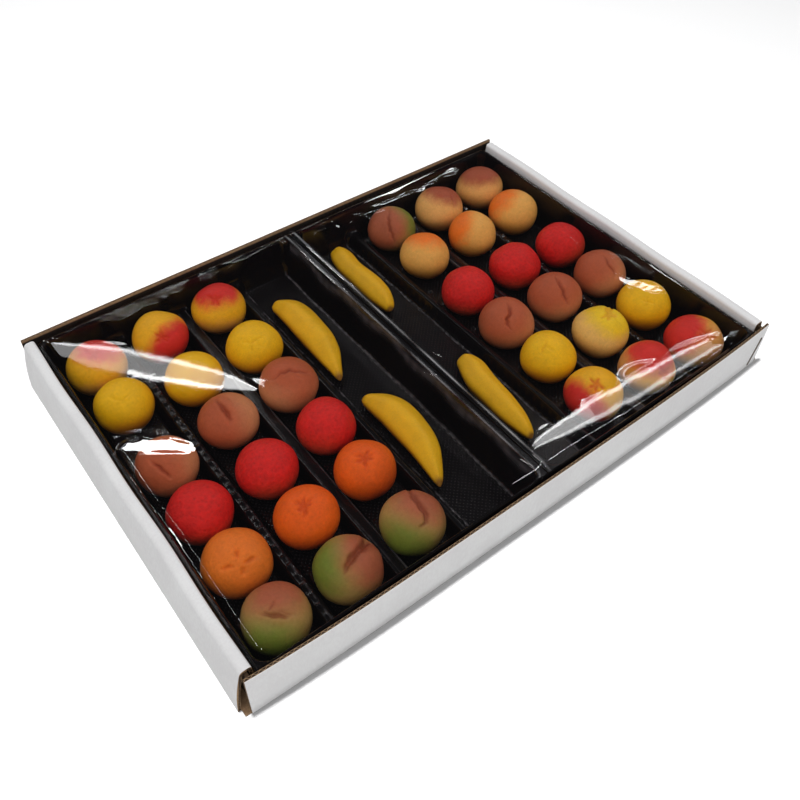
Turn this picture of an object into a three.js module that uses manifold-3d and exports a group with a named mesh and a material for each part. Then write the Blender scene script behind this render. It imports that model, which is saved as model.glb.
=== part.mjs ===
// A flat white carton of forty marzipan fruits, sealed under clear film.
// Two black plastic inserts lie side by side in the carton, the right one turned half round.
// Each insert has four lanes: three hold six round fruits each, and the one at the seam holds two bananas.
// Units are millimetres, +Z is up, and the carton stands on Z = 0.

import * as THREE from 'three';
import { mergeVertices } from 'three/addons/utils/BufferGeometryUtils.js';
import Module from 'manifold-3d';

const wasm = await Module();
wasm.setup();

// Carton, folded from corrugated board: long walls one board thick, end walls rolled over and hollow
const TOP_LENGTH = 340; // along X, between the outer shoulders of the end walls
const FOOT_LENGTH = 349; // along X, between the folds at the feet of the end walls
const DEPTH = 238; // along Y, between the outer faces of the long walls at the corners
const WALL_HEIGHT = 31;
const BOARD = 1.6;
const SHOULDER = 1.2; // radius of the fold along an end wall's top
const END_WALL_TOP = 5.5; // width of a rolled-over top
const END_WALL_BULGE = 0.9; // how far an end wall's outer panel swells past its own foot
const INNER_PANEL_LEAN = 1.2; // how much nearer the middle an inner panel stands at its foot
const ROLL_SHORT = 4.5; // the rolled-over board stops this far short of a long wall's outer face
const OUTER_SHORT = 1; // and the outer panel this far
const FLAP_LENGTH = 62; // flap of a long wall, folded into the hollow end wall
const FLAP_CLEARANCE = 1; // below the rolled-over top
const FRONT_BOW_TOP = 3; // the front wall bows out midway, more at its top than at its foot
const FRONT_BOW_FOOT = 1.6;
const WALL_STATIONS = 16; // straight steps along a bowed wall

// Inserts, formed from one thin sheet each
const GAP = 0.3; // between pieces that touch
const OVERLAP = 0.02; // by which shapes that are joined run into each other
const SHEET = 0.6;
const RIM_TOP = 27;
const RIDGE_TOP = 10;
const FLOOR_TOP = BOARD + GAP + SHEET;
const SEAM_RIM = 3; // rim width along the middle seam
const OUTER_RIM = 1.7; // rim width along the carton's walls
const INSERT_LENGTH = { near: 0.3, far: 162.8 }; // distances from the seam of the two ends of an insert
const INSERT_HALF_DEPTH = 116.9;
const WALL_DRAFT = 3; // the insert's walls lean in by this much from rim to ridge height
const FLOOR_DRAFT = 3.6; // and a lane's sides by this much from ridge height to its floor
const BANANA_LANE = { near: 8.2, far: 40.4 }; // sides of the banana lane at ridge height, from the seam
const OUTER_LANE_STEP = 1.65; // the outermost lane's side stands this far in from the rim's inner edge
const RIDGE_HALF_WIDTH = 2.2; // half the top of a ridge between two lanes
const CORNER_RADIUS = 7;

// Fruits
const ROUND_RADIUS = 16.8;
const ROUND_HALF_HEIGHT = 14.8;
const ROUND_CENTRE_HEIGHT = 14;
const FRUIT_FOOT = FLOOR_TOP + GAP;
const FRUIT_SEGMENTS = 14;
const SIZE_STEP = 0.012; // fruits differ in size by up to three of these steps
const DENT_DEPTH = 1.6; // dimple where the stalk would be
const DENT_WIDTH = 3;
const CREASE_DEPTH = 1.5; // groove over the top of a peach
const CREASE_WIDTH = 1.4;

// Each lane of round fruits: its place along X, its fruits from back to front, and their places along Y
const LEFT_FRUITS = ['apple', 'lemon', 'peach', 'cherry', 'orange', 'plum'];
const RIGHT_FRUITS = ['plum', 'apricot', 'cherry', 'peach', 'lemon', 'apple'];
const ROUND_LANES = [
  { name: 'a', x: -142, fruits: LEFT_FRUITS, places: [92, 57.5, 8, -26.5, -61, -95] },
  { name: 'b', x: -103, fruits: LEFT_FRUITS, places: [93, 52.5, 15, -23.5, -59, -94] },
  { name: 'c', x: -64, fruits: LEFT_FRUITS, places: [94.5, 54, 18, -18.5, -53.5, -92] },
  { name: 'f', x: 65, fruits: RIGHT_FRUITS, places: [94.5, 60, 17.5, -17, -52, -87] },
  { name: 'g', x: 104, fruits: RIGHT_FRUITS, places: [93, 58.5, 18, -18, -55.5, -91] },
  { name: 'h', x: 142, fruits: RIGHT_FRUITS, places: [95, 60.5, 16, -19.5, -55, -93] },
];

// Each banana: where its two ends and its middle lie, and how thick its far end is beside its near one
const BANANAS = [
  { name: 'banana_d1', back: [-35, 80], middle: [-30.8, 45], front: [-34.5, 11], blunt: 0 },
  { name: 'banana_d2', back: [-34.5, -13], middle: [-28.6, -45], front: [-34.5, -81], blunt: 0 },
  { name: 'banana_e1', back: [28, 104], middle: [22.8, 68], front: [21, 34], blunt: 0.6 },
  { name: 'banana_e2', back: [28, -22], middle: [23.2, -55], front: [21, -88], blunt: 0.75 },
];
const BANANA_HALF_WIDTH = 7.1;
const BANANA_HEIGHT = 14.5;
const BANANA_TIP = 0.2; // the tips' thickness beside the middle's
const BANANA_FULLNESS = 0.6; // power of the sine that thins a banana towards its tips
const BANANA_FOOT_TURN = 0.22 * Math.PI; // how far below level its section's rounding ends at the flat foot

// Clear film, stretched over the fruits and down to the inserts' rims
const FILM = 0.35;
const FILM_EDGE = RIM_TOP + GAP;
const FILM_CROWN = 29.2;
const FILM_SLOPE = 17; // how far in from its edge the film climbs to its crown

// Colours, roughness and metalness of each kind of piece
const FINISHES = {
  carton: { color: 0xe4e3e2, roughness: 0.55 },
  insert: { color: 0x120e10, roughness: 0.22 },
  apple: { color: 0xd8871c, roughness: 0.55 },
  lemon: { color: 0xd6a01a, roughness: 0.55 },
  peach: { color: 0x94543c, roughness: 0.6 },
  cherry: { color: 0xb4201e, roughness: 0.6 },
  orange: { color: 0xd2681c, roughness: 0.55 },
  plum: { color: 0x82703a, roughness: 0.6 },
  apricot: { color: 0xd09a48, roughness: 0.55 },
  banana: { color: 0xd29c18, roughness: 0.5 },
  film: { color: 0xf4f6f8, roughness: 0.08, opacity: 0.25, transparent: true },
};

const CREASED = ['peach', 'plum'];
const DIMPLED = ['apple', 'lemon', 'orange'];

const object = new THREE.Group();

function finish(kind) {
  return new THREE.MeshStandardMaterial({ metalness: 0, ...FINISHES[kind] });
}

function addPiece(name, kind, geometry) {
  const mesh = new THREE.Mesh(geometry, finish(kind));
  mesh.name = name;
  object.add(mesh);
}

// Joins rings of equally many points into a closed skin, with a fan over each end ring
function loft(rings) {
  const count = rings[0].length;
  const positions = rings.flat().flatMap((p) => [p.x, p.y, p.z]);
  const faces = [];
  for (let r = 0; r < rings.length - 1; r += 1) {
    for (let i = 0; i < count; i += 1) {
      const next = (i + 1) % count;
      const [a, b] = [r * count + i, r * count + next];
      faces.push(a, b, b + count, a, b + count, a + count);
    }
  }
  const last = (rings.length - 1) * count;
  for (let i = 1; i < count - 1; i += 1) {
    faces.push(0, i + 1, i, last, last + i, last + i + 1);
  }
  const geometry = new THREE.BufferGeometry();
  geometry.setAttribute('position', new THREE.Float32BufferAttribute(positions, 3));
  geometry.setIndex(faces);
  return facingOut(geometry);
}

// Turns a closed skin's faces round if its signed volume says that they point inwards
function facingOut(geometry) {
  const { array } = geometry.attributes.position;
  const index = geometry.index.array;
  const [a, b, c] = [new THREE.Vector3(), new THREE.Vector3(), new THREE.Vector3()];
  let volume = 0;
  for (let i = 0; i < index.length; i += 3) {
    a.fromArray(array, index[i] * 3);
    b.fromArray(array, index[i + 1] * 3);
    c.fromArray(array, index[i + 2] * 3);
    volume += a.dot(b.cross(c));
  }
  if (volume < 0) {
    for (let i = 0; i < index.length; i += 3) {
      [index[i + 1], index[i + 2]] = [index[i + 2], index[i + 1]];
    }
  }
  geometry.computeVertexNormals();
  return geometry;
}

// The same closed skin as a solid that can be cut and joined
function solid(geometry) {
  const bare = geometry.clone();
  bare.deleteAttribute('normal');
  bare.deleteAttribute('uv');
  const merged = mergeVertices(bare, 1e-4);
  return new wasm.Manifold(
    new wasm.Mesh({
      numProp: 3,
      vertProperties: new Float32Array(merged.attributes.position.array),
      triVerts: new Uint32Array(merged.index.array),
    }),
  );
}

function geometryOf(manifold) {
  const mesh = manifold.getMesh();
  const geometry = new THREE.BufferGeometry();
  geometry.setAttribute('position', new THREE.BufferAttribute(new Float32Array(mesh.vertProperties), 3));
  geometry.setIndex(new THREE.BufferAttribute(new Uint32Array(mesh.triVerts), 1));
  geometry.computeVertexNormals();
  return geometry;
}

function union(solids) {
  return solids.reduce((sum, next) => sum.add(next));
}

// A box between two opposite corners
function block(x0, x1, y0, y1, z0, z1) {
  const box = new THREE.BoxGeometry(x1 - x0, y1 - y0, z1 - z0);
  box.translate((x0 + x1) / 2, (y0 + y1) / 2, (z0 + z1) / 2);
  return solid(box);
}

// A level ring of points round a rectangle with round corners
function roundedRing(x0, x1, y0, y1, radius, z) {
  const cornerSteps = 4;
  const corners = [
    [x1 - radius, y1 - radius, 0],
    [x0 + radius, y1 - radius, 1],
    [x0 + radius, y0 + radius, 2],
    [x1 - radius, y0 + radius, 3],
  ];
  return corners.flatMap(([cx, cy, quarter]) =>
    Array.from({ length: cornerSteps + 1 }, (_, i) => {
      const angle = (quarter + i / cornerSteps) * (Math.PI / 2);
      return new THREE.Vector3(cx + radius * Math.cos(angle), cy + radius * Math.sin(angle), z);
    }),
  );
}

// Board folded along a line drawn in the XZ plane, with its thickness laid to the line's left
// and no part of it below the ground
function foldedBoard(line, y0, y1) {
  const offset = line.map((point, i) => {
    const before = line[Math.max(i - 1, 0)];
    const after = line[Math.min(i + 1, line.length - 1)];
    const along = after.clone().sub(before).normalize();
    return new THREE.Vector2(point.x - along.y * BOARD, Math.max(point.y + along.x * BOARD, 0));
  });
  const shape = new THREE.Shape([...line, ...offset.reverse()]);
  const geometry = new THREE.ExtrudeGeometry(shape, { depth: y1 - y0, bevelEnabled: false });
  geometry.rotateX(Math.PI / 2);
  geometry.translate(0, y1, 0);
  return solid(geometry);
}

// Outer face of the end wall on the +X side, from its foot up to where the shoulder's curve starts
function outerPanelLine() {
  const foot = FOOT_LENGTH / 2;
  const top = TOP_LENGTH / 2;
  const steps = 5;
  const climb = WALL_HEIGHT - SHOULDER;
  return Array.from({ length: steps + 1 }, (_, i) => {
    const t = i / steps;
    return new THREE.Vector2(foot + (top - foot) * t + END_WALL_BULGE * Math.sin(Math.PI * t), climb * t);
  });
}

// From the shoulder across the top and down the inner panel to the base
function rolledLine() {
  const outer = TOP_LENGTH / 2;
  const inner = outer - END_WALL_TOP;
  const start = outerPanelLine().slice(-2);
  return [
    ...start,
    new THREE.Vector2(outer - SHOULDER, WALL_HEIGHT),
    new THREE.Vector2(inner + SHOULDER, WALL_HEIGHT),
    new THREE.Vector2(inner, WALL_HEIGHT - SHOULDER),
    new THREE.Vector2(inner - INNER_PANEL_LEAN, BOARD - OVERLAP),
  ];
}

function endWall() {
  const half = DEPTH / 2;
  return union([
    foldedBoard(outerPanelLine(), -half + OUTER_SHORT, half - OUTER_SHORT),
    foldedBoard(rolledLine(), -half + ROLL_SHORT, half - ROLL_SHORT),
  ]);
}

// How far the front wall bows out at x: little near its ends, almost level along its middle
function frontBow(x, amount) {
  return amount * (1 - Math.abs((2 * x) / TOP_LENGTH) ** 4);
}

// A long wall: its cross-section carried along X, with bows at its top and foot
function longWall(outerFace, bowTop, bowFoot) {
  const out = Math.sign(outerFace);
  const rings = Array.from({ length: WALL_STATIONS + 1 }, (_, i) => {
    const x = (i / WALL_STATIONS - 0.5) * TOP_LENGTH;
    const top = outerFace + out * frontBow(x, bowTop);
    const foot = outerFace + out * frontBow(x, bowFoot);
    return [
      new THREE.Vector3(x, foot, 0),
      new THREE.Vector3(x, top, WALL_HEIGHT),
      new THREE.Vector3(x, top - out * BOARD, WALL_HEIGHT),
      new THREE.Vector3(x, foot - out * BOARD, 0),
    ];
  });
  return solid(loft(rings));
}

// The base, its front edge bowed with the front wall's foot
function base() {
  const halfLength = FOOT_LENGTH / 2 - BOARD / 2;
  const halfDepth = DEPTH / 2 - OUTER_SHORT;
  const front = Array.from({ length: WALL_STATIONS + 1 }, (_, i) => {
    const x = (i / WALL_STATIONS - 0.5) * TOP_LENGTH;
    return new THREE.Vector2(x, -DEPTH / 2 - frontBow(x, FRONT_BOW_FOOT) + BOARD / 2);
  });
  const outline = [
    new THREE.Vector2(halfLength, halfDepth),
    new THREE.Vector2(-halfLength, halfDepth),
    new THREE.Vector2(-halfLength, -halfDepth),
    ...front,
    new THREE.Vector2(halfLength, -halfDepth),
  ];
  return solid(new THREE.ExtrudeGeometry(new THREE.Shape(outline), { depth: BOARD, bevelEnabled: false }));
}

// The flaps of the long walls, tucked into the hollow end wall on the +X side
function flaps() {
  const half = DEPTH / 2;
  const outer = TOP_LENGTH / 2 - BOARD - GAP;
  const top = WALL_HEIGHT - BOARD - FLAP_CLEARANCE;
  return [
    block(outer - BOARD, outer, half - FLAP_LENGTH, half - BOARD / 2, BOARD / 2, top),
    block(outer - BOARD, outer, -half + BOARD / 2, -half + FLAP_LENGTH, BOARD / 2, top),
  ];
}

function carton() {
  const half = DEPTH / 2;
  const right = union([endWall(), ...flaps()]);
  const left = right.mirror([1, 0, 0]);
  const walls = [longWall(half, 0, 0), longWall(-half, FRONT_BOW_TOP, FRONT_BOW_FOOT)];
  return geometryOf(union([base(), ...walls, left, right]));
}

// A hollow with round corners, wider at its top than at its foot, where the corners are tighter too
function hollow(top, foot, zTop, zFoot) {
  const tighter = 0.8;
  return solid(
    loft([
      roundedRing(foot.x0, foot.x1, foot.y0, foot.y1, CORNER_RADIUS * tighter, zFoot),
      roundedRing(top.x0, top.x1, top.y0, top.y1, CORNER_RADIUS, zTop),
    ]),
  );
}

function grown(area, by) {
  return { x0: area.x0 - by, x1: area.x1 + by, y0: area.y0 - by, y1: area.y1 + by };
}

// The four lanes of the left insert at ridge height, split midway between their fruits
function laneAreas(depth) {
  const [a, b, c] = ROUND_LANES.slice(0, 3).map((lane) => lane.x);
  const [ab, bc, cd] = [(a + b) / 2, (b + c) / 2, c + (b - a) / 2];
  const sides = [
    [-INSERT_LENGTH.far + OUTER_RIM + OUTER_LANE_STEP, ab - RIDGE_HALF_WIDTH],
    [ab + RIDGE_HALF_WIDTH, bc - RIDGE_HALF_WIDTH],
    [bc + RIDGE_HALF_WIDTH, cd - RIDGE_HALF_WIDTH],
    [-BANANA_LANE.far, -BANANA_LANE.near],
  ];
  return sides.map(([x0, x1]) => ({ x0, x1, y0: -depth, y1: depth }));
}

// The left insert: everything the sheet was pressed into, less the same hollows a sheet's thickness smaller
function insert() {
  const rimDepth = INSERT_HALF_DEPTH - OUTER_RIM;
  const ridgeDepth = rimDepth - WALL_DRAFT;
  const lanes = laneAreas(ridgeDepth);
  const [far, near] = [-INSERT_LENGTH.far, -INSERT_LENGTH.near];
  const upper = { x0: far + OUTER_RIM, x1: near - SEAM_RIM, y0: -rimDepth, y1: rimDepth };
  const lower = { x0: lanes[0].x0, x1: lanes[3].x1, y0: -ridgeDepth, y1: ridgeDepth };
  const laneTop = RIDGE_TOP + OVERLAP;
  const hollows = (by, lift) => [
    hollow(grown(upper, by), grown(lower, by), RIM_TOP + lift, RIDGE_TOP - by),
    ...lanes.map((lane) => hollow(grown(lane, by), grown(lane, by - FLOOR_DRAFT), laneTop, FLOOR_TOP - by)),
  ];
  const rimRings = [RIM_TOP - SHEET, RIM_TOP].map((z) =>
    roundedRing(far, near, -INSERT_HALF_DEPTH, INSERT_HALF_DEPTH, CORNER_RADIUS, z),
  );
  const rim = solid(loft(rimRings));
  return union([rim, ...hollows(SHEET, 0)]).subtract(union(hollows(0, 1)));
}

// Profile of a round fruit, from its flat foot up to its crown, spun round Z
function roundFruit(kind, size) {
  const radius = ROUND_RADIUS * size;
  const rise = ROUND_HALF_HEIGHT * size;
  const centre = ROUND_CENTRE_HEIGHT;
  const footAngle = Math.asin((FRUIT_FOOT - centre) / rise);
  const steps = 7;
  const profile = [new THREE.Vector2(0, FRUIT_FOOT)];
  for (let i = 0; i <= steps; i += 1) {
    const angle = footAngle + (Math.PI / 2 - footAngle) * (i / steps);
    profile.push(new THREE.Vector2(radius * Math.cos(angle), centre + rise * Math.sin(angle)));
  }
  profile[profile.length - 1].x = 0;
  const geometry = new THREE.LatheGeometry(profile, FRUIT_SEGMENTS);
  geometry.rotateX(Math.PI / 2);
  if (DIMPLED.includes(kind)) {
    sink(geometry, (x, y) => DENT_DEPTH * Math.exp(-(x * x + y * y) / DENT_WIDTH ** 2));
  }
  if (CREASED.includes(kind)) {
    const fade = 6; // how soon the groove runs out towards the sides
    sink(geometry, (x, y) => {
      const across = Math.exp(-((x / CREASE_WIDTH) ** 2));
      return CREASE_DEPTH * across * Math.exp(-fade * (y / radius) ** 4);
    });
  }
  return geometry;
}

// Lowers the upper half of a fruit by an amount that depends on the place
function sink(geometry, amount) {
  const { position } = geometry.attributes;
  for (let i = 0; i < position.count; i += 1) {
    const z = position.getZ(i);
    if (z > ROUND_CENTRE_HEIGHT) {
      position.setZ(i, z - amount(position.getX(i), position.getY(i)));
    }
  }
}

// Drops the seam and the doubled poles of a spun shape and leaves one closed skin
function sealed(geometry) {
  return geometryOf(solid(geometry));
}

function addRoundFruits() {
  ROUND_LANES.forEach((lane, l) => {
    lane.fruits.forEach((kind, i) => {
      const size = 1 - SIZE_STEP * ((l * 5 + i * 3) % 4);
      const turn = ((l * 7 + i * 11) % FRUIT_SEGMENTS) * ((2 * Math.PI) / FRUIT_SEGMENTS);
      const geometry = sealed(roundFruit(kind, size));
      geometry.rotateZ(CREASED.includes(kind) ? turn : 0);
      geometry.translate(lane.x, lane.places[i], 0);
      addPiece(`${kind}_${lane.name}${i + 1}`, kind, geometry);
    });
  });
}

// How thick a banana is at t along it, beside its middle
function girthAt(t, blunt) {
  const inset = 0.06; // the tips are cut where the sine is still above nought
  const girth = Math.sin(Math.PI * (inset + (1 - 2 * inset) * t)) ** BANANA_FULLNESS;
  return Math.max(girth, t < 0.5 ? Math.max(blunt, BANANA_TIP) : BANANA_TIP);
}

// A banana lying on the floor: rounded sections with a flat foot, carried along a bent line
function banana({ back, middle, front, blunt }) {
  const spine = new THREE.QuadraticBezierCurve(
    new THREE.Vector2(...back),
    new THREE.Vector2(2 * middle[0] - (back[0] + front[0]) / 2, 2 * middle[1] - (back[1] + front[1]) / 2),
    new THREE.Vector2(...front),
  );
  const stations = 9;
  const sides = 9;
  const sweep = Math.PI + 2 * BANANA_FOOT_TURN;
  const upper = 1 / (1 + Math.sin(BANANA_FOOT_TURN)); // share of the height above the section's middle
  const rings = Array.from({ length: stations + 1 }, (_, s) => {
    const t = s / stations;
    const girth = girthAt(t, blunt);
    const at = spine.getPoint(t);
    const along = spine.getTangent(t);
    return Array.from({ length: sides }, (_unused, i) => {
      const angle = -BANANA_FOOT_TURN + sweep * (i / (sides - 1));
      const across = BANANA_HALF_WIDTH * girth * Math.cos(angle);
      const height = BANANA_HEIGHT * girth * (1 - upper + upper * Math.sin(angle));
      return new THREE.Vector3(at.x - along.y * across, at.y + along.x * across, FRUIT_FOOT + height);
    });
  });
  return loft(rings);
}

// The film: flat over the fruits, sloping to the rims round its edge
function film() {
  const ring = (inward, radius, z) =>
    roundedRing(
      -INSERT_LENGTH.far + inward,
      INSERT_LENGTH.far - inward,
      -INSERT_HALF_DEPTH + inward,
      INSERT_HALF_DEPTH - inward,
      radius,
      z,
    );
  const lid = (lift) =>
    loft([
      ring(0, CORNER_RADIUS, FILM_EDGE - FILM),
      ring(0, CORNER_RADIUS, FILM_EDGE + lift),
      ring(FILM_SLOPE, CORNER_RADIUS * 2, FILM_CROWN + lift),
    ]);
  const below = block(-TOP_LENGTH, TOP_LENGTH, -DEPTH, DEPTH, 0, FILM_EDGE);
  return geometryOf(solid(lid(FILM)).subtract(solid(lid(0))).subtract(below));
}

addPiece('carton', 'carton', carton());
const leftInsert = insert();
addPiece('insert_left', 'insert', geometryOf(leftInsert));
addPiece('insert_right', 'insert', geometryOf(leftInsert.rotate([0, 0, 180])));
addRoundFruits();
BANANAS.forEach((one) => addPiece(one.name, 'banana', banana(one)));
addPiece('film', 'film', film());

// The front wall's bow makes the whole deeper at the front, so the middle moves back by half of it
object.position.y = FRONT_BOW_TOP / 2;

export default object;
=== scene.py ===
"""Looks of a carton of marzipan fruits sealed under clear film.

Places are millimetres from the middle of the two inserts, on the ground: X along the carton, Y towards its back and
Z up. They become metres in the row's frame when a mesh is made.
"""

import math
from collections import namedtuple

import bpy
import numpy as np
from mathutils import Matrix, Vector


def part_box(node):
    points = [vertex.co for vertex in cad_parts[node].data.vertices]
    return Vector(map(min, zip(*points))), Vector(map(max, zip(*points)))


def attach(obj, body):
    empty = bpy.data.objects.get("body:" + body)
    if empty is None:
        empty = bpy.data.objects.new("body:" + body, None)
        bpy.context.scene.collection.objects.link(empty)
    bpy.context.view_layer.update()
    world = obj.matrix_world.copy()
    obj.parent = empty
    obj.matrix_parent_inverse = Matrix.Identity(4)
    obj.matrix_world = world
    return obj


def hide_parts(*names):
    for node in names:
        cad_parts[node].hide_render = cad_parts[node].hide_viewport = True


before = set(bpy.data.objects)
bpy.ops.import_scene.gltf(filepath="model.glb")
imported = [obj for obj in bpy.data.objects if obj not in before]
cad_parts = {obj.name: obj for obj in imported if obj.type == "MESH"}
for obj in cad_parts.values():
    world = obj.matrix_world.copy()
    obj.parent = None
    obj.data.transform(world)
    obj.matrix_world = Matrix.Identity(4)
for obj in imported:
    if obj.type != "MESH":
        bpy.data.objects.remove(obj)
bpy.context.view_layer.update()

MM = 0.001
TAU = 2 * math.pi
insert_low, insert_high = (np.array(corner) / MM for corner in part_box("insert_left"))
carton_high = np.array(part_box("carton")[1]) / MM
MIDDLE = np.array([0.0, (insert_low[1] + insert_high[1]) / 2, 0.0])

# Camera, as the photograph has it
CAMERA_PLACE = np.array([-211.9, -265.6, 364.0])
CAMERA_TURN = (43.72, -0.86, -37.58)
CAMERA_LENS = 38.68
CAMERA_RISE = -0.05

# Carton
WALL_HEIGHT = carton_high[2]
FOOT_HALF = carton_high[0]
TOP_HALF = 170.0
HALF_DEPTH = 119.0
BOARD = 1.6
SHOULDER = 1.3
END_WALL_TOP = 5.5
END_WALL_BULGE = 0.9
INNER_PANEL_LEAN = 1.2
ROLL_SHORT = 4.5
FLAP_LENGTH = 62.0
FRONT_BOW_TOP = 3.0
FRONT_BOW_FOOT = 1.6
FLUTE_PITCH = 3.2

# Inserts
RIM_TOP = insert_high[2]
RIDGE_TOP = 10.0
FLOOR_TOP = 2.5
SEAM_GAP = -insert_high[0]
INSERT_FAR = -insert_low[0]
INSERT_HALF_DEPTH = (insert_high[1] - insert_low[1]) / 2
SEAM_RIM = 3.0
OUTER_RIM = 1.7
WALL_DRAFT = 3.0
FLOOR_DRAFT = 3.6
CORNER_RADIUS = 7.0
LANES = (-142.0, -103.0, -64.0)
RIDGE_HALF = 2.2
BANANA_LANE = (-43.6, -5.2)
LINE_RIDGE_SIDE = -79.2
OUTER_LANE_STEP = 1.65
CORNER_SOFTNESS = 0.09
INSERT_SKIRT = 5.0
# Lines of painted glint along the inserts' sharp bends:
GLINT_LINES = (  # X, how pale, and how much of the line is gaps
    (-79.4, 0.8, 0.3), (-83.9, 0.35, 0.6), (-9.2, 0.9, 0.55), (-39.0, 0.7, 0.8), (-4.0, 0.7, 0.3), (-121.5, 0.5, 0.8),
)

# Fruits
FRUIT_FOOT = 2.8
FRUIT_CENTRE = 14.0
ROUND_RADIUS = 16.6
ROUND_RISE = 14.6
FRUIT_TOP = 28.65

# Film
FILM_RIM = 27.6
FILM_CROWN = 29.85
FILM_LOWEST = 27.3
FILM_HIGHEST = 30.9
FILM_STEP = 0.66
FILM_MIRROR = 0.085
FILM_SHRINK = 0.256
FLAT_FIRM = 0.3
FOLD_FIRM = 0.002
SEAM_LINES = ((1.32, 0.5), (-4.62, 0.32))  # X of each line along the seam painted white as a glint, and how white it is
SEAM_GROOVE = 0.2
SEAM_VALLEY = 0.5
SEAM_VALLEY_HALF = 46.0
FILM_WAVES = 0.07
FILM_SLACK = 0.2
FILM_HOLD = 4e-4
STUCK_HOLD = 0.3

# Lamps that glossy surfaces mirror. The radiance is that of their whole face and turn is in degrees
Lamp = namedtuple("Lamp", "place size radiance turn", defaults=(0.0,))
LAMPS = {
    "back_left": Lamp((52, 811, 1000), (150, 27), 16.0, -38.2),
    "far_left": Lamp((-330, 1400, 1000), (200, 160), 14.0),
    "band": Lamp((131, 1011.5, 1000), (484, 30), 2.2, -52.2),
    "band_upper": Lamp((141, 1019.3, 998), (484, 5), 8.0, -52.2),
    "band_lower": Lamp((165.4, 946.7, 998), (207, 5), 12.0, -52.2),
    "band_end": Lamp((257, 849.5, 999), (70, 26), 5.0, -52.2),
    "drop": Lamp((905, 356, 1000), (570, 22), 1.2, -4.0),
    "drop_upper": Lamp((905.6, 364.8, 998), (570, 4), 8.0, -4.0),
    "drop_lower": Lamp((904.4, 347.2, 998), (570, 4), 5.0, -4.0),
    "drop_tip": Lamp((707, 370, 999), (150, 20), 2.4, -4.0),
    "right_bar": Lamp((800, 120, 1000), (560, 40), 22.0),
    "back_right": Lamp((1299, 577, 1000), (60, 90), 9.0),
    "far_back": Lamp((967, 1260, 1000), (220, 60), 14.0),
    "long_left": Lamp((-120, 620, 1000), (24, 500), 12.0),
    "long_right": Lamp((1500, 760, 1000), (40, 1000), 8.0),
    "long_back": Lamp((400, 1650, 1000), (1000, 40), 14.0),
}


# Meshes

def grid_faces(rows, columns, wrap=False):
    """Corner numbers of the squares of a grid, row by row. wrap joins the last column to the first."""
    row = np.arange(rows - 1)[:, None]
    column = np.arange(columns if wrap else columns - 1)[None, :]
    after = (column + 1) % columns
    corners = (row * columns + column, row * columns + after, (row + 1) * columns + after, (row + 1) * columns + column)
    return np.stack(corners, -1).reshape(-1, 4)


def fan_faces(ring, middle, over):
    """Triangles from a middle point to a closed ring of points. over is True where the fan lies on top."""
    after = np.roll(ring, -1)
    first, second = (ring, after) if over else (after, ring)
    return np.stack([np.full_like(ring, middle), first, second], -1)


def make_piece(name, points, faces, finishes, stands_for, patches=None, values=None, sharp=None):
    """A mesh from points in millimetres and a list of arrays or lists of corner numbers, one for each group of faces.
    patches gives each face its finish, values gives the points named numbers, and edges sharper than sharp degrees
    keep a hard line."""
    mesh = bpy.data.meshes.new(name)
    points = (np.asarray(points, float).reshape(-1, 3) + MIDDLE) * MM
    rows = [face for group in faces for face in (group.tolist() if isinstance(group, np.ndarray) else group)]
    mesh.from_pydata(points.tolist(), [], rows)
    mesh.polygons.foreach_set("use_smooth", np.ones(len(rows), bool))
    if patches is not None:
        mesh.polygons.foreach_set("material_index", np.asarray(patches, np.int32))
    for key, numbers in (values or {}).items():
        numbers = np.asarray(numbers, float)
        kind, field = ("FLOAT_VECTOR", "vector") if numbers.ndim == 2 else ("FLOAT", "value")
        mesh.attributes.new(key, kind, "POINT").data.foreach_set(field, numbers.ravel())
    if sharp:
        mesh.set_sharp_from_angle(angle=math.radians(sharp))
    mesh.update()
    piece = bpy.data.objects.new(name, mesh)
    bpy.context.scene.collection.objects.link(piece)
    for finish in finishes:
        mesh.materials.append(finish)
    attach(piece, "root")
    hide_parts(*stands_for)
    return piece


def smooth(t):
    """0 below 0, 1 above 1, and a smooth climb between."""
    t = np.clip(t, 0.0, 1.0)
    return t * t * (3 - 2 * t)


def slow_waves(seed, count, *places):
    """Sum of a few sines with seeded directions and phases, about -1 to 1. Places are already in wavelengths."""
    draw = np.random.default_rng(seed)
    total = 0.0
    for _ in range(count):
        pull = draw.normal(size=len(places))
        total = total + np.sin(sum(w * p for w, p in zip(pull, places)) * TAU + draw.uniform(0, TAU))
    return total / math.sqrt(count)


# Finishes

def tone(red, green, blue, lit=0.68):
    """The linear colour of a surface that looks like this 0 to 255 colour where its light is lit."""
    def linear(v):
        v = v / 255
        return v / 12.92 if v <= 0.04045 else ((v + 0.055) / 1.055) ** 2.4
    return tuple(min(linear(v) / lit, 0.95) for v in (red, green, blue)) + (1.0,)


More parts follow.
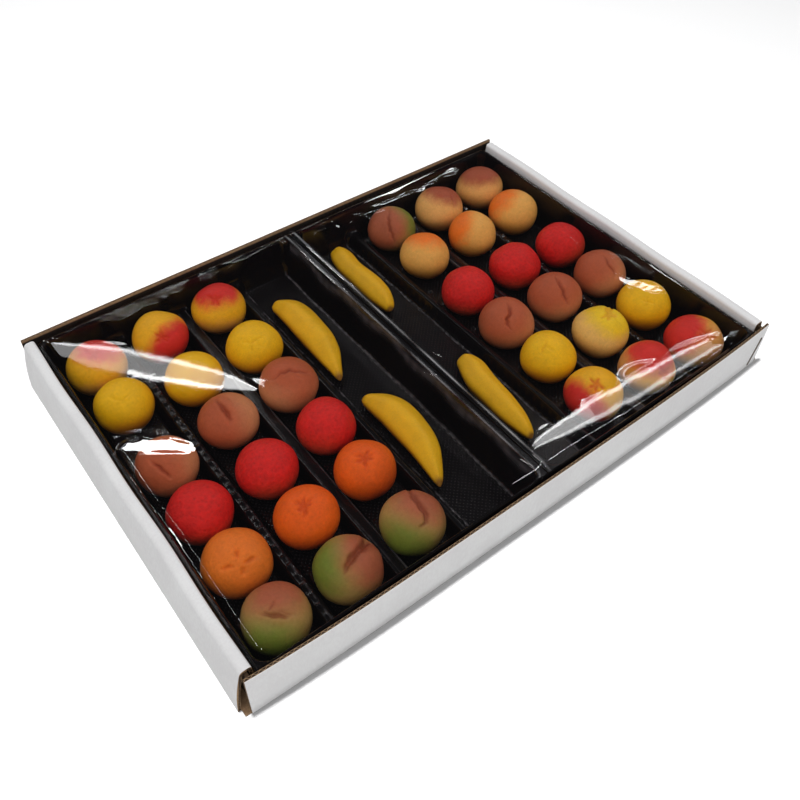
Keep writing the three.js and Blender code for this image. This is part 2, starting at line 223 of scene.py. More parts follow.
class Nodes:
    """A node tree that is filled one node at a time."""

    def __init__(self, tree):
        self.tree = tree

    def feed(self, socket, value):
        """Joins an input socket to another node's output, or sets it to a constant."""
        if isinstance(value, bpy.types.NodeSocket):
            self.tree.links.new(value, socket)
        else:
            socket.default_value = value

    def put(self, kind, *inputs, **settings):
        """Adds a node. Inputs go in order, None leaves one as it is, and a dictionary sets them by name."""
        node = self.tree.nodes.new("ShaderNode" + kind)
        for key, value in settings.items():
            setattr(node, key, value)
        named = inputs[0] if inputs and isinstance(inputs[0], dict) else dict(enumerate(inputs))
        for key, value in named.items():
            if value is not None:
                self.feed(node.inputs[key], value)
        return node

    def math(self, operation, *inputs, **settings):
        return self.put("Math", *inputs, operation=operation, **settings).outputs[0]

    def vector(self, operation, *inputs):
        node = self.put("VectorMath", *inputs, operation=operation)
        return node.outputs["Value" if operation in ("DOT_PRODUCT", "LENGTH", "DISTANCE") else "Vector"]

    def blend(self, share, first, second):
        """first where share is 0 and second where it is 1."""
        node = self.put("Mix", data_type="RGBA")
        for number, value in ((0, share), (6, first), (7, second)):
            self.feed(node.inputs[number], value)
        return node.outputs[2]

    def ramp(self, value, low, high):
        """0 below low, 1 above high, smooth between."""
        settings = {"interpolation_type": "SMOOTHSTEP"}
        return self.put("MapRange", {"Value": value, "From Min": low, "From Max": high}, **settings).outputs[0]

    def noise(self, place, scale, detail=3.0, rough=0.5):
        return self.put("TexNoise", {"Vector": place, "Scale": scale, "Detail": detail, "Roughness": rough}).outputs[0]

    def attribute(self, name, output="Vector"):
        return self.put("Attribute", attribute_name=name).outputs[output]

    def group(self, tree, **inputs):
        node = self.tree.nodes.new("ShaderNodeGroup")
        node.node_tree = tree
        for key, value in inputs.items():
            self.feed(node.inputs[key.replace("_", " ")], value)
        return node.outputs

    def bump(self, height, distance, strength=1.0):
        return self.put("Bump", {"Strength": strength, "Distance": distance, "Height": height}).outputs[0]


def new_group(name, inputs, outputs):
    """An empty node group, its nodes, its inputs as outputs of a node, and the function that fills its outputs."""
    tree = bpy.data.node_groups.new(name, "ShaderNodeTree")
    kinds = {"value": "NodeSocketFloat", "vector": "NodeSocketVector", "colour": "NodeSocketColor"}
    for key, (kind, default) in inputs.items():
        socket = tree.interface.new_socket(key, in_out="INPUT", socket_type=kinds[kind])
        if default is not None:
            socket.default_value = default
    for key, kind in outputs.items():
        tree.interface.new_socket(key, in_out="OUTPUT", socket_type=kinds[kind])
    given = tree.nodes.new("NodeGroupInput").outputs
    result = tree.nodes.new("NodeGroupOutput")

    def fill(**sockets):
        for key, value in sockets.items():
            tree.links.new(value, result.inputs[key.replace("_", " ")])

    return tree, Nodes(tree), given, fill


def new_finish(name):
    """An empty material, its nodes and its Principled shader, already joined to the output."""
    material = bpy.data.materials.new(name)
    material.use_nodes = True
    material.node_tree.nodes.clear()
    nodes = Nodes(material.node_tree)
    shader = nodes.put("BsdfPrincipled")
    nodes.put("OutputMaterial", shader.outputs[0])
    return material, nodes, shader


def dress(nodes, shader, **sockets):
    """Sets or joins the shader's sockets by name."""
    for key, value in sockets.items():
        nodes.feed(shader.inputs[key.replace("_", " ")], value)


def marzipan_grain():
    """Fine sugar grain and slow unevenness. Grain is a height from 0 to 1, Patches a slow mask for the colour."""
    tree, nodes, given, fill = new_group(
        "marzipan_grain",
        {"Place": ("vector", None), "Roughening": ("value", 1.0)},
        {"Grain": "value", "Patches": "value"},
    )
    fine = nodes.noise(given["Place"], 900.0, 4.0, 0.7)
    pits = nodes.put("TexVoronoi", {"Vector": given["Place"], "Scale": 560.0}, feature="SMOOTH_F1").outputs["Distance"]
    rough = nodes.math("MULTIPLY", pits, given["Roughening"])
    fill(Grain=nodes.math("ADD", fine, rough), Patches=nodes.noise(given["Place"], 150.0, 4.0, 0.6))
    return tree


def airbrush():
    """Where sprayed colour has landed: 1 on the side that a direction points to, fading over a soft, speckled edge."""
    tree, nodes, given, fill = new_group(
        "airbrush",
        {
            "Own place": ("vector", None),
            "Towards": ("vector", (0, 0, 1)),
            "Edge": ("value", 0.2),
            "Softness": ("value", 0.4),
            "Patches": ("value", 0.5),
        },
        {"Mask": "value"},
    )
    reach = nodes.vector("DOT_PRODUCT", given["Own place"], given["Towards"])
    uneven = nodes.math("MULTIPLY_ADD", given["Patches"], 0.5, -0.25)
    reach = nodes.math("ADD", reach, uneven)
    low = nodes.math("SUBTRACT", given["Edge"], given["Softness"])
    high = nodes.math("ADD", given["Edge"], given["Softness"])
    fill(Mask=nodes.ramp(reach, low, high))
    return tree


def paper_fibres():
    """Faint fibres and the washboard of the flutes under a liner. Height is for a bump, Shade for the colour."""
    tree, nodes, given, fill = new_group(
        "paper_fibres",
        {"Place": ("vector", None), "Along flutes": ("value", 0.0)},
        {"Height": "value", "Shade": "value"},
    )
    stretched = nodes.vector("MULTIPLY", given["Place"], (1.0, 1.0, 0.35))
    fibres = nodes.noise(stretched, 900.0, 5.0, 0.6)
    blotches = nodes.noise(given["Place"], 45.0, 3.0, 0.5)
    board = nodes.math("SINE", nodes.math("MULTIPLY", given["Along flutes"], TAU / (FLUTE_PITCH * MM)))
    fill(Height=nodes.math("MULTIPLY_ADD", board, 0.35, fibres), Shade=nodes.math("ADD", blotches, fibres))
    return tree


def flute_section():
    """The cut edge of corrugated board: two liners and a wave between them, with the hollows dark as painted shade."""
    tree, nodes, given, fill = new_group(
        "flute_section",
        {"Across": ("value", 0.5), "Along": ("value", 0.0)},
        {"Paper": "value"},
    )
    wave = nodes.math("SINE", nodes.math("MULTIPLY", given["Along"], TAU / FLUTE_PITCH))
    line = nodes.math("MULTIPLY_ADD", wave, 0.32, 0.5)
    off = nodes.math("ABSOLUTE", nodes.math("SUBTRACT", given["Across"], line))
    flute = nodes.math("SUBTRACT", 1.0, nodes.ramp(off, 0.07, 0.16))
    side = nodes.math("ABSOLUTE", nodes.math("SUBTRACT", given["Across"], 0.5))
    fill(Paper=nodes.math("MAXIMUM", flute, nodes.ramp(side, 0.34, 0.4)))
    return tree


GRAIN = marzipan_grain()
AIRBRUSH = airbrush()
FIBRES = paper_fibres()
FLUTES = flute_section()


def white_liner(name, flutes_along):
    """Clay-coated white liner. flutes_along is the coordinate along which the flutes repeat, 'X' or 'Z'."""
    material, nodes, shader = new_finish(name)
    place = nodes.put("TexCoord").outputs["Object"]
    along = nodes.put("SeparateXYZ", place).outputs[flutes_along]
    fibres = nodes.group(FIBRES, Place=place, Along_flutes=along)
    colour = nodes.blend(nodes.ramp(fibres["Shade"], 0.75, 1.3), (0.87, 0.86, 0.855, 1), (0.94, 0.94, 0.93, 1))
    rough = nodes.math("MULTIPLY_ADD", fibres["Shade"], 0.12, 0.4)
    dress(nodes, shader, Base_Color=colour, Roughness=rough, Normal=nodes.bump(fibres["Height"], 0.00006, 0.6))
    return material


def kraft_liner(name, shade=1.0, foot=0.0):
    """Brown liner of the board. shade darkens all of it as painted shade, for where it lies deep between two panels,
    and below a foot in metres it is painted near black, as painted shade down towards the black insert."""
    material, nodes, shader = new_finish(name)
    place = nodes.put("TexCoord").outputs["Object"]
    along = nodes.put("SeparateXYZ", place).outputs["X"]
    fibres = nodes.group(FIBRES, Place=place, Along_flutes=along)
    pulp = tone(128, 100, 74, 0.75 / shade), tone(163, 132, 99, 0.75 / shade)
    colour = nodes.blend(nodes.ramp(fibres["Shade"], 0.7, 1.35), *pulp)
    # Painted shade: below the foot the liner turns near black, for the shade on the walls' inner faces above the
    # insert.
    if foot:
        above = nodes.ramp(nodes.put("SeparateXYZ", place).outputs["Z"], foot, foot + 0.0009)
        colour = nodes.blend(above, (0.016, 0.013, 0.012, 1), colour)
    dress(nodes, shader, Base_Color=colour, Roughness=0.8, Normal=nodes.bump(fibres["Height"], 0.00012, 0.8))
    return material


def cut_edge():
    """Raw edge of the board, where its flutes show."""
    material, nodes, shader = new_finish("cut_edge")
    place = nodes.put("TexCoord").outputs["Object"]
    across = nodes.attribute("across", "Fac")
    along = nodes.attribute("along", "Fac")
    paper = nodes.group(FLUTES, Across=across, Along=along)["Paper"]
    grain = nodes.noise(place, 700.0, 4.0, 0.6)
    pulp = nodes.blend(grain, tone(120, 93, 66), tone(170, 140, 105))
    # Painted shade: the flutes' hollows are dark brown.
    colour = nodes.blend(paper, tone(48, 36, 27), pulp)
    height = nodes.math("MULTIPLY_ADD", paper, 2.0, grain)
    dress(nodes, shader, Base_Color=colour, Roughness=0.85, Normal=nodes.bump(height, 0.0002, 0.8))
    return material


def black_plastic():
    """Glossy vacuum-formed sheet, with rows of small pimples where it lies low. The pimples' tops and lines along its
    sharp bends are lightened in colour as painted glints.
    """
    material, nodes, shader = new_finish("black_plastic")
    place = nodes.put("TexCoord").outputs["Object"]
    axes = nodes.put("SeparateXYZ", place).outputs
    pitch = 2.6 * MM
    wave_x = nodes.math("SINE", nodes.math("MULTIPLY", axes["X"], TAU / pitch))
    wave_y = nodes.math("SINE", nodes.math("MULTIPLY", axes["Y"], TAU / pitch))
    pimples = nodes.math("POWER", nodes.math("MAXIMUM", nodes.math("MULTIPLY", wave_x, wave_y), 0.0), 3.0)
    low = nodes.math("SUBTRACT", 1.0, nodes.ramp(axes["Z"], 2.7 * MM, 3.4 * MM))
    drawn = nodes.noise(place, 60.0, 3.0, 0.5)
    dots = nodes.math("MULTIPLY", pimples, low)
    height = nodes.math("MULTIPLY_ADD", drawn, 0.3, dots)
    colour = nodes.blend(drawn, (0.0028, 0.002, 0.0024, 1), (0.005, 0.0037, 0.0042, 1))
    # Painted glint: the pimples' tops lightened in colour; their bump is real.
    colour = nodes.blend(nodes.math("MULTIPLY", dots, 0.8), colour, (0.04, 0.034, 0.034, 1))
    # Painted glint: pale lines along the sharp bends.
    colour = nodes.blend(nodes.attribute("pale", "Fac"), colour, (0.11, 0.1, 0.105, 1))
    rough = nodes.math("MULTIPLY_ADD", drawn, 0.08, 0.14)
    dress(nodes, shader, Base_Color=colour, Roughness=rough, Normal=nodes.bump(height, 0.0003, 0.7))
    return material


# groove is the colour of the painted shade in grooves and pits, and of the bananas' brown tips.
Paint = namedtuple("Paint", "base spray under groove softness roughening", defaults=(0.3, 0.35))
PAINTS = {
    "apple": Paint(tone(211, 154, 18), tone(188, 37, 28), tone(196, 135, 71), tone(180, 51, 19)),
    "lemon": Paint(tone(209, 152, 3), tone(212, 161, 4), tone(182, 105, 6), tone(170, 109, 3), 0.5),
    "pale_lemon": Paint(tone(214, 167, 89), tone(228, 172, 22), tone(186, 134, 70), tone(192, 134, 22)),
    "peach": Paint(tone(173, 103, 66), tone(158, 76, 44), tone(179, 118, 77), tone(116, 40, 18), 0.5),
    "cherry": Paint(tone(170, 22, 17), tone(180, 22, 17), tone(153, 53, 29), tone(123, 13, 10), 0.6, 0.9),
    "orange": Paint(tone(195, 84, 9), tone(203, 80, 5), tone(162, 61, 9), tone(168, 57, 4), 0.6, 0.5),
    "pale_orange": Paint(tone(197, 102, 28), tone(202, 102, 25), tone(168, 82, 26), tone(170, 73, 13), 0.6, 0.5),
    "plum": Paint(tone(158, 125, 68), tone(150, 79, 51), tone(101, 113, 37), tone(110, 47, 25), 0.4),
    "russet": Paint(tone(209, 155, 86), tone(148, 71, 44), tone(157, 105, 52), tone(134, 69, 44)),
    "apricot": Paint(tone(208, 152, 73), tone(216, 104, 23), tone(167, 110, 37), tone(161, 100, 43)),
    "banana": Paint(tone(205, 151, 12), tone(208, 157, 13), tone(176, 115, 8), tone(130, 87, 26), 0.4, 0.15),
}


def marzipan(kind):
    """Tinted marzipan: a base colour, sprayed colour on one side, another underneath, grooves darkened with painted
    shade, and painted shade darkening it towards the bottom.
    """
    paint = PAINTS[kind]
    material, nodes, shader = new_finish("marzipan_" + kind)
    place = nodes.put("TexCoord").outputs["Object"]
    own = nodes.attribute("own_place")
    spray_way = nodes.attribute("spray_way")
    under_way = nodes.attribute("under_way")
    grain = nodes.group(GRAIN, Place=place, Roughening=paint.roughening)
    edge = nodes.attribute("spray_edge", "Fac")
    sprayed = nodes.group(
        AIRBRUSH, Own_place=own, Towards=spray_way, Edge=edge, Softness=paint.softness, Patches=grain["Patches"]
    )["Mask"]
    under = nodes.group(
        AIRBRUSH, Own_place=own, Towards=under_way, Edge=0.62, Softness=0.42, Patches=grain["Patches"]
    )["Mask"]
    colour = nodes.blend(under, paint.base, paint.under)
    colour = nodes.blend(sprayed, colour, paint.spray)
    # Painted shade: grooves and pits blend towards the groove colour by their depth.
    colour = nodes.blend(nodes.attribute("groove", "Fac"), colour, paint.groove)
    mottle = nodes.math("MULTIPLY_ADD", grain["Patches"], 0.3, 0.64 - 0.14 * paint.roughening)
    colour_factor = nodes.math("MULTIPLY_ADD", grain["Grain"], 0.3 + 0.2 * paint.roughening, mottle)
    # Painted shade: the colour darkens towards each fruit's bottom, to a fifth at the foot.
    own_height = nodes.put("SeparateXYZ", own).outputs["Z"]
    colour_factor = nodes.math("MULTIPLY", colour_factor, nodes.math("MULTIPLY_ADD", nodes.ramp(own_height, -0.75, 0.3), 0.8, 0.2))
    colour = nodes.put("VectorMath", colour, colour_factor, operation="SCALE")
    nodes.tree.links.new(colour_factor, colour.inputs["Scale"])
    rough = nodes.math("MULTIPLY_ADD", grain["Patches"], 0.2, 0.42)
    dress(
        nodes, shader,
        Base_Color=colour.outputs[0],
        Roughness=rough,
        Specular_IOR_Level=0.32,
        Subsurface_Weight=0.12,
        Subsurface_Radius=(1.0, 0.45, 0.2),
        Subsurface_Scale=0.0012,
        Normal=nodes.bump(grain["Grain"], 0.0002 + 0.0005 * paint.roughening, 0.5),
    )
    return material


def clear_film():
    """Thin clear film: what lies behind shows through, both of its faces mirror the lamps, and lines along the seam are
    painted white as glints.
    """
    material = bpy.data.materials.new("clear_film")
    material.use_nodes = True
    material.node_tree.nodes.clear()
    nodes = Nodes(material.node_tree)
    place = nodes.put("TexCoord").outputs["Object"]
    ripples = nodes.noise(nodes.vector("MULTIPLY", place, (1.0, 1.6, 1.0)), 55.0, 4.0, 0.55)
    bump = nodes.bump(ripples, 0.00001, 0.6)
    clear = nodes.put("BsdfTransparent", (0.995, 0.99, 0.995, 1.0)).outputs[0]
    gloss = nodes.put("BsdfGlossy", {"Color": (1, 1, 1, 1), "Roughness": 0.02, "Normal": bump}).outputs[0]
    grazing = nodes.put("LayerWeight", {"Blend": 0.5, "Normal": bump}).outputs["Facing"]
    mirrored = nodes.math("MULTIPLY_ADD", nodes.math("POWER", grazing, 5.0), 0.9, FILM_MIRROR)
    film_light = nodes.put("MixShader", mirrored, clear, gloss).outputs[0]
    # Painted glint: the seam's lines are a white diffuse shader.
    white = nodes.put("BsdfDiffuse", (0.8, 0.8, 0.82, 1.0)).outputs[0]
    nodes.put("OutputMaterial", nodes.put("MixShader", nodes.attribute("seam_glint", "Fac"), film_light, white).outputs[0])
    return material


# Carton

def offset_line(line, by):
    """The same line moved to its left by a distance, its corners mitred."""
    ahead = np.diff(line, axis=0)
    ahead /= np.linalg.norm(ahead, axis=1)[:, None]
    left = np.stack([-ahead[:, 1], ahead[:, 0]], 1)
    first, second = np.vstack([left[:1], left]), np.vstack([left, left[-1:]])
    middle = first + second
    return line + middle * (2 * by / (middle**2).sum(1))[:, None]


def round_corners(line, radii, steps=6):
    """The line with the corners that radii names, by their number, rounded as quadratic curves."""
    out = []
    for number, corner in enumerate(line):
        if number not in radii:
            out.append(corner)
            continue
        before = line[number - 1] - corner
        after = line[number + 1] - corner
        start = corner + before / np.linalg.norm(before) * radii[number]
        end = corner + after / np.linalg.norm(after) * radii[number]
        for t in np.linspace(0, 1, steps):
            out.append((1 - t) ** 2 * start + 2 * t * (1 - t) * corner + t**2 * end)
    return np.array(out)


def folded_board(name, outer, inner, y0, y1, rows, side, finishes, waviness=0.0, seed=0):
    """Board of outline outer then inner reversed, in the XZ plane, carried from y0 to y1: at each row the outline
    is moved in X by slow waves. The ends are capped and show the flutes."""
    outline = np.vstack([outer, inner[::-1]])
    count = len(outline)
    y = np.linspace(y0, y1, rows)
    wander = waviness * slow_waves(seed, 4, y / 160)
    x = side * (outline[None, :, 0] + wander[:, None] * smooth(outline[None, :, 1] / WALL_HEIGHT))
    points = np.stack([x, np.broadcast_to(y[:, None], x.shape), np.broadcast_to(outline[None, :, 1], x.shape)], -1)
    skin = grid_faces(rows, count, wrap=True)
    caps = [list(range(count)), list(range((rows - 1) * count, rows * count))]
    if side > 0:
        caps[1].reverse()
    else:
        skin = skin[:, ::-1]
        caps[0].reverse()
    column = np.tile(np.arange(count), rows - 1)
    inside = (column >= len(outer)) & (column < count - 1)
    ends = (column == len(outer) - 1) | (column == count - 1)
    patches = np.where(ends, 2, np.where(inside, 1, 0))
    run = np.concatenate([[0], np.cumsum(np.linalg.norm(np.diff(outer, axis=0), axis=1))])
    back = np.interp(np.linspace(0, 1, len(inner)), np.linspace(0, 1, len(run)), run)[::-1]
    along = np.tile(np.concatenate([run, back]), rows)
    across = np.tile(np.concatenate([np.zeros(len(outer)), np.ones(len(inner))]), rows)
    return make_piece(
        name, points, [skin, caps], finishes, ["carton"],
        patches=np.concatenate([patches, [2, 2]]), values={"across": across, "along": along}, sharp=35,
    )


def end_wall(side, word):
    """A rolled-over end wall: an outer panel that leans in and swells, a flat top and an inner panel, in one board."""
    climb = np.linspace(0, 1, 9)
    lean = FOOT_HALF + (TOP_HALF - FOOT_HALF) * climb + END_WALL_BULGE * np.sin(math.pi * climb)
    panel = np.stack([lean, WALL_HEIGHT * climb], 1)
    inner_x = TOP_HALF - END_WALL_TOP
    line = np.vstack([panel, [[inner_x, WALL_HEIGHT], [inner_x - INNER_PANEL_LEAN, BOARD]]])
    top = len(panel) - 1
    inner = offset_line(line, BOARD)
    inner[0, 1] = 0.05
    outer = round_corners(line, {top: SHOULDER * 1.6, top + 1: SHOULDER * 1.6}, steps=7)
    finishes = [white_liner("white_liner_" + word, "Z"), WALL_KRAFT, CUT]
    end = HALF_DEPTH - ROLL_SHORT
    folded_board(f"carton_end_{word}", outer, inner, -end, end, 60, side, finishes, waviness=0.35, seed=3)


KRAFT = kraft_liner("kraft_liner")
# Painted shade on the walls' inner faces below 29.1 mm.
WALL_KRAFT = kraft_liner("wall_kraft_liner", foot=0.0291)
# A darker copy of the kraft liner: painted shade for board deep between panels, as on the corner flaps and the slit.
SHADED_KRAFT = kraft_liner("shaded_kraft_liner", 0.25)
CUT = cut_edge()


def front_bow(x, amount):
    """How far a bowed wall stands out at x: little near its ends and level along its middle."""
    return amount * (1 - np.abs(x / TOP_HALF) ** 4)


def long_wall(name, sign, bow_top, bow_foot):
    """A wall one board thick: at each place along X an upright strip, whose top and foot bow out by their amounts."""
    x = np.linspace(-TOP_HALF, TOP_HALF, 120)
    z = np.array([0.0, 0.9, 8, 16, 24, WALL_HEIGHT - 0.25, WALL_HEIGHT])
    share = z / WALL_HEIGHT
    ripple = 0.22 * slow_waves(11, 5, x / 190)[:, None] * share[None, :] ** 2
    bow = front_bow(x, bow_foot)[:, None] * (1 - share) + front_bow(x, bow_top)[:, None] * share
    face = HALF_DEPTH + bow + ripple
    outer = face - np.array([0.5, 0, 0, 0, 0, 0, 0.25])[None, :]
    back = face - BOARD
    y = sign * np.concatenate([outer, back[:, ::-1]], 1)
    zz = np.broadcast_to(np.concatenate([z, z[::-1]]), y.shape)
    points = np.stack([np.broadcast_to(x[:, None], y.shape), y, zz], -1)
    rows, count = y.shape
    skin = grid_faces(rows, count, wrap=True)
    caps = [list(range(count)), list(range((rows - 1) * count, rows * count))]
    if sign > 0:
        caps[0].reverse()
    else:
        skin = skin[:, ::-1]
        caps[1].reverse()
    column = np.tile(np.arange(count), rows - 1)
    patches = np.where(column < len(z) - 1, 0, np.where(column == len(z) - 1, 2, np.where(column < count - 1, 1, 2)))
    across = np.tile(np.concatenate([np.zeros(len(z)), np.ones(len(z))]), rows)
    along = np.repeat(x, count)
    finishes = [white_liner("white_" + name, "X"), WALL_KRAFT, CUT]
    make_piece(
        name, points, [skin, caps], finishes, ["carton"],
        patches=np.concatenate([patches, [2, 2]]), values={"across": across, "along": along}, sharp=35,
    )


def board_panel(name, x0, x1, y0, y1, z0, z1, finishes, patches=(0, 0, 0, 0, 0, 0), lean=0.0):
    """A flat piece of board between two opposite corners. lean is how far its top is moved along X."""
    x, y, z = np.meshgrid([x0, x1], [y0, y1], [z0, z1], indexing="ij")
    points = np.stack([x.ravel() + lean * (z.ravel() == z1), y.ravel(), z.ravel()], 1)
    faces = [[0, 1, 3, 2], [4, 6, 7, 5], [0, 4, 5, 1], [2, 3, 7, 6], [0, 2, 6, 4], [1, 5, 7, 3]]
    values = {"across": (points[:, 0] - x0) / (x1 - x0), "along": points[:, 1]}
    return make_piece(name, points, [faces], finishes, ["carton"], patches=patches, values=values, sharp=35)


def carton():
    """Two rolled end walls, two plain long walls, the base, four corner flaps behind the end walls and a slit, the
    flaps
    and the slit in painted shade: the slit is a thin dark board standing for the shade in it.
    """
    end_wall(-1, "left")
    end_wall(1, "right")
    long_wall("carton_front", -1, FRONT_BOW_TOP, FRONT_BOW_FOOT)
    long_wall("carton_back", 1, 0.0, 0.0)
    half = FOOT_HALF - BOARD
    board_panel("carton_base", -half, half, -HALF_DEPTH + 0.8, HALF_DEPTH - 0.8, 0.02, BOARD, [KRAFT])
    # Painted shade: a thin dark board standing just out of the front wall where the slit's shade shows.
    board_panel("carton_slit_shade", 162.2, 162.8, -HALF_DEPTH - 0.75, -HALF_DEPTH, 3.0, 23.0, [SHADED_KRAFT], lean=3.9)
    outer = TOP_HALF - BOARD - 0.3
    for side, word in ((-1, "left"), (1, "right")):
        for end, where in ((-1, "front"), (1, "back")):
            x0, x1 = sorted((side * (outer - BOARD), side * outer))
            y0, y1 = sorted((end * (HALF_DEPTH - FLAP_LENGTH), end * (HALF_DEPTH - 0.8)))
            top = WALL_HEIGHT - BOARD - 1
            # The flaps take the darker kraft as painted shade.
            board_panel(f"carton_flap_{word}_{where}", x0, x1, y0, y1, 0.8, top, [SHADED_KRAFT])


# Inserts

def inside_by(x, y, x0, x1, y0, y1, radius):
    """How far a place lies inside a rectangle with round corners: the rounded box distance with its sign turned."""
    dx = np.abs(x - (x0 + x1) / 2) - (x1 - x0) / 2 + radius
    dy = np.abs(y - (y0 + y1) / 2) - (y1 - y0) / 2 + radius
    return radius - np.hypot(np.maximum(dx, 0), np.maximum(dy, 0)) - np.minimum(np.maximum(dx, dy), 0)


def lane_spans():
    """The sides of the left insert's four lanes at ridge height."""
    a, b, c = LANES
    cd = c + (b - a) / 2
    return [
        (-INSERT_FAR + OUTER_RIM + OUTER_LANE_STEP, (a + b) / 2 - RIDGE_HALF),
        ((a + b) / 2 + RIDGE_HALF, (b + c) / 2 - RIDGE_HALF),
        (LINE_RIDGE_SIDE, cd - RIDGE_HALF),
        BANANA_LANE,
    ]


def ramp(t):
    """A straight climb from 0 at 0 to 1 at 1, with corners rounded a little: a difference of two soft hinges."""
    hinges = [(v + np.sqrt(v * v + CORNER_SOFTNESS**2)) / 2 for v in (t, t - 1)]
    return hinges[0] - hinges[1]


def studs(x, y, at, pitch, width, height, start=0.0):
    """A row of small round knobs along Y at one X: a bell in X times a bell in the distance to the nearest knob."""
    off = (y - start + pitch / 2) % pitch - pitch / 2
    return height * np.exp(-(((x - at) / width) ** 2)) * np.exp(-((off / width) ** 2))


def insert_height(x, y):
    """Height of the left insert's sheet: the rim, less the drop to the ridges inside its wall, less the drop to the
    floor inside each lane, plus the rows of studs."""
    rim_depth = INSERT_HALF_DEPTH - OUTER_RIM
    upper = inside_by(x, y, -INSERT_FAR + OUTER_RIM, -SEAM_GAP - SEAM_RIM, -rim_depth, rim_depth, CORNER_RADIUS)
    height = RIM_TOP - (RIM_TOP - RIDGE_TOP) * ramp(upper / WALL_DRAFT)
    lane_depth = rim_depth - WALL_DRAFT
    for x0, x1 in lane_spans():
        lane = inside_by(x, y, x0, x1, -lane_depth, lane_depth, CORNER_RADIUS * 0.8)
        height = height - (RIDGE_TOP - FLOOR_TOP) * ramp(lane / FLOOR_DRAFT)
    within = (np.abs(y) < lane_depth - 4).astype(float)
    ab = (LANES[0] + LANES[1]) / 2
    cd = LANES[2] + (LANES[1] - LANES[0]) / 2
    for at, pitch, width, tall in (
        (ab + 0.6, 6.2, 1.0, 0.9),
        (ab - 1.4, 12.4, 1.2, 1.0),
        (cd + 3.2, 6.0, 0.9, 0.9),
        (-55.2, 13.7, 0.9, 1.5),
        (BANANA_LANE[0] + FLOOR_DRAFT + 0.4, 4.6, 0.8, 0.7),
        (BANANA_LANE[1] - FLOOR_DRAFT - 0.4, 4.6, 0.8, 0.7),
    ):
        height = height + within * studs(x, y, at, pitch, width, tall)
    lip = smooth((1.2 - np.abs(upper + 0.9)) / 1.2)
    return height + 0.25 * lip


def painted_bend_glints(x, y):
    """How strongly the left insert's sheet is lightened by painted glints: a bell in X across each line where it is
    bent sharply, broken by slow waves along Y."""
    lane_depth = INSERT_HALF_DEPTH - OUTER_RIM - WALL_DRAFT
    pale = np.zeros(x.shape)
    for number, (at, strength, gaps) in enumerate(GLINT_LINES):
        wander = 0.3 * slow_waves(number, 4, y / 70)
        dashes = 1 - gaps * smooth(0.5 + slow_waves(20 + number, 5, y / 9))
        pale = np.maximum(pale, strength * dashes * np.exp(-(((x - at - wander) / 0.42) ** 2)))
    return pale * (np.abs(y) < lane_depth - 3)


def insert(name, turn, finish):
    """An insert's sheet as a height over a fine grid of X and Y. turn is -1 for the one that is turned half round."""
    x = np.linspace(-INSERT_FAR, -SEAM_GAP, 340)
    y = np.linspace(-INSERT_HALF_DEPTH, INSERT_HALF_DEPTH, 290)
    xx, yy = np.meshgrid(x, y)
    z = insert_height(xx, yy)
    pale = painted_bend_glints(xx, yy)
    z[0], z[-1], z[:, 0] = z[0] - INSERT_SKIRT, z[-1] - INSERT_SKIRT, z[:, 0] - INSERT_SKIRT
    points = np.stack([turn * xx, turn * yy, z], -1)
    faces = [grid_faces(len(y), len(x))]
    return make_piece(name, points, faces, [finish], [name], values={"pale": pale.ravel()})


# Fruits

Stroke = namedtuple("Stroke", "width deep places")
"""A groove: its width and depth in millimetres and the places that it runs through, as shares of the fruit's radius to
the right and up, as the camera sees the fruit."""

Fruit = namedtuple("Fruit", "paint spray under dents strokes", defaults=((0, -1.0), (), ()))
"""spray is which side the sprayed colour lies on and where it starts, under is the other colour's side, and dents are
the places of pits with short rays."""

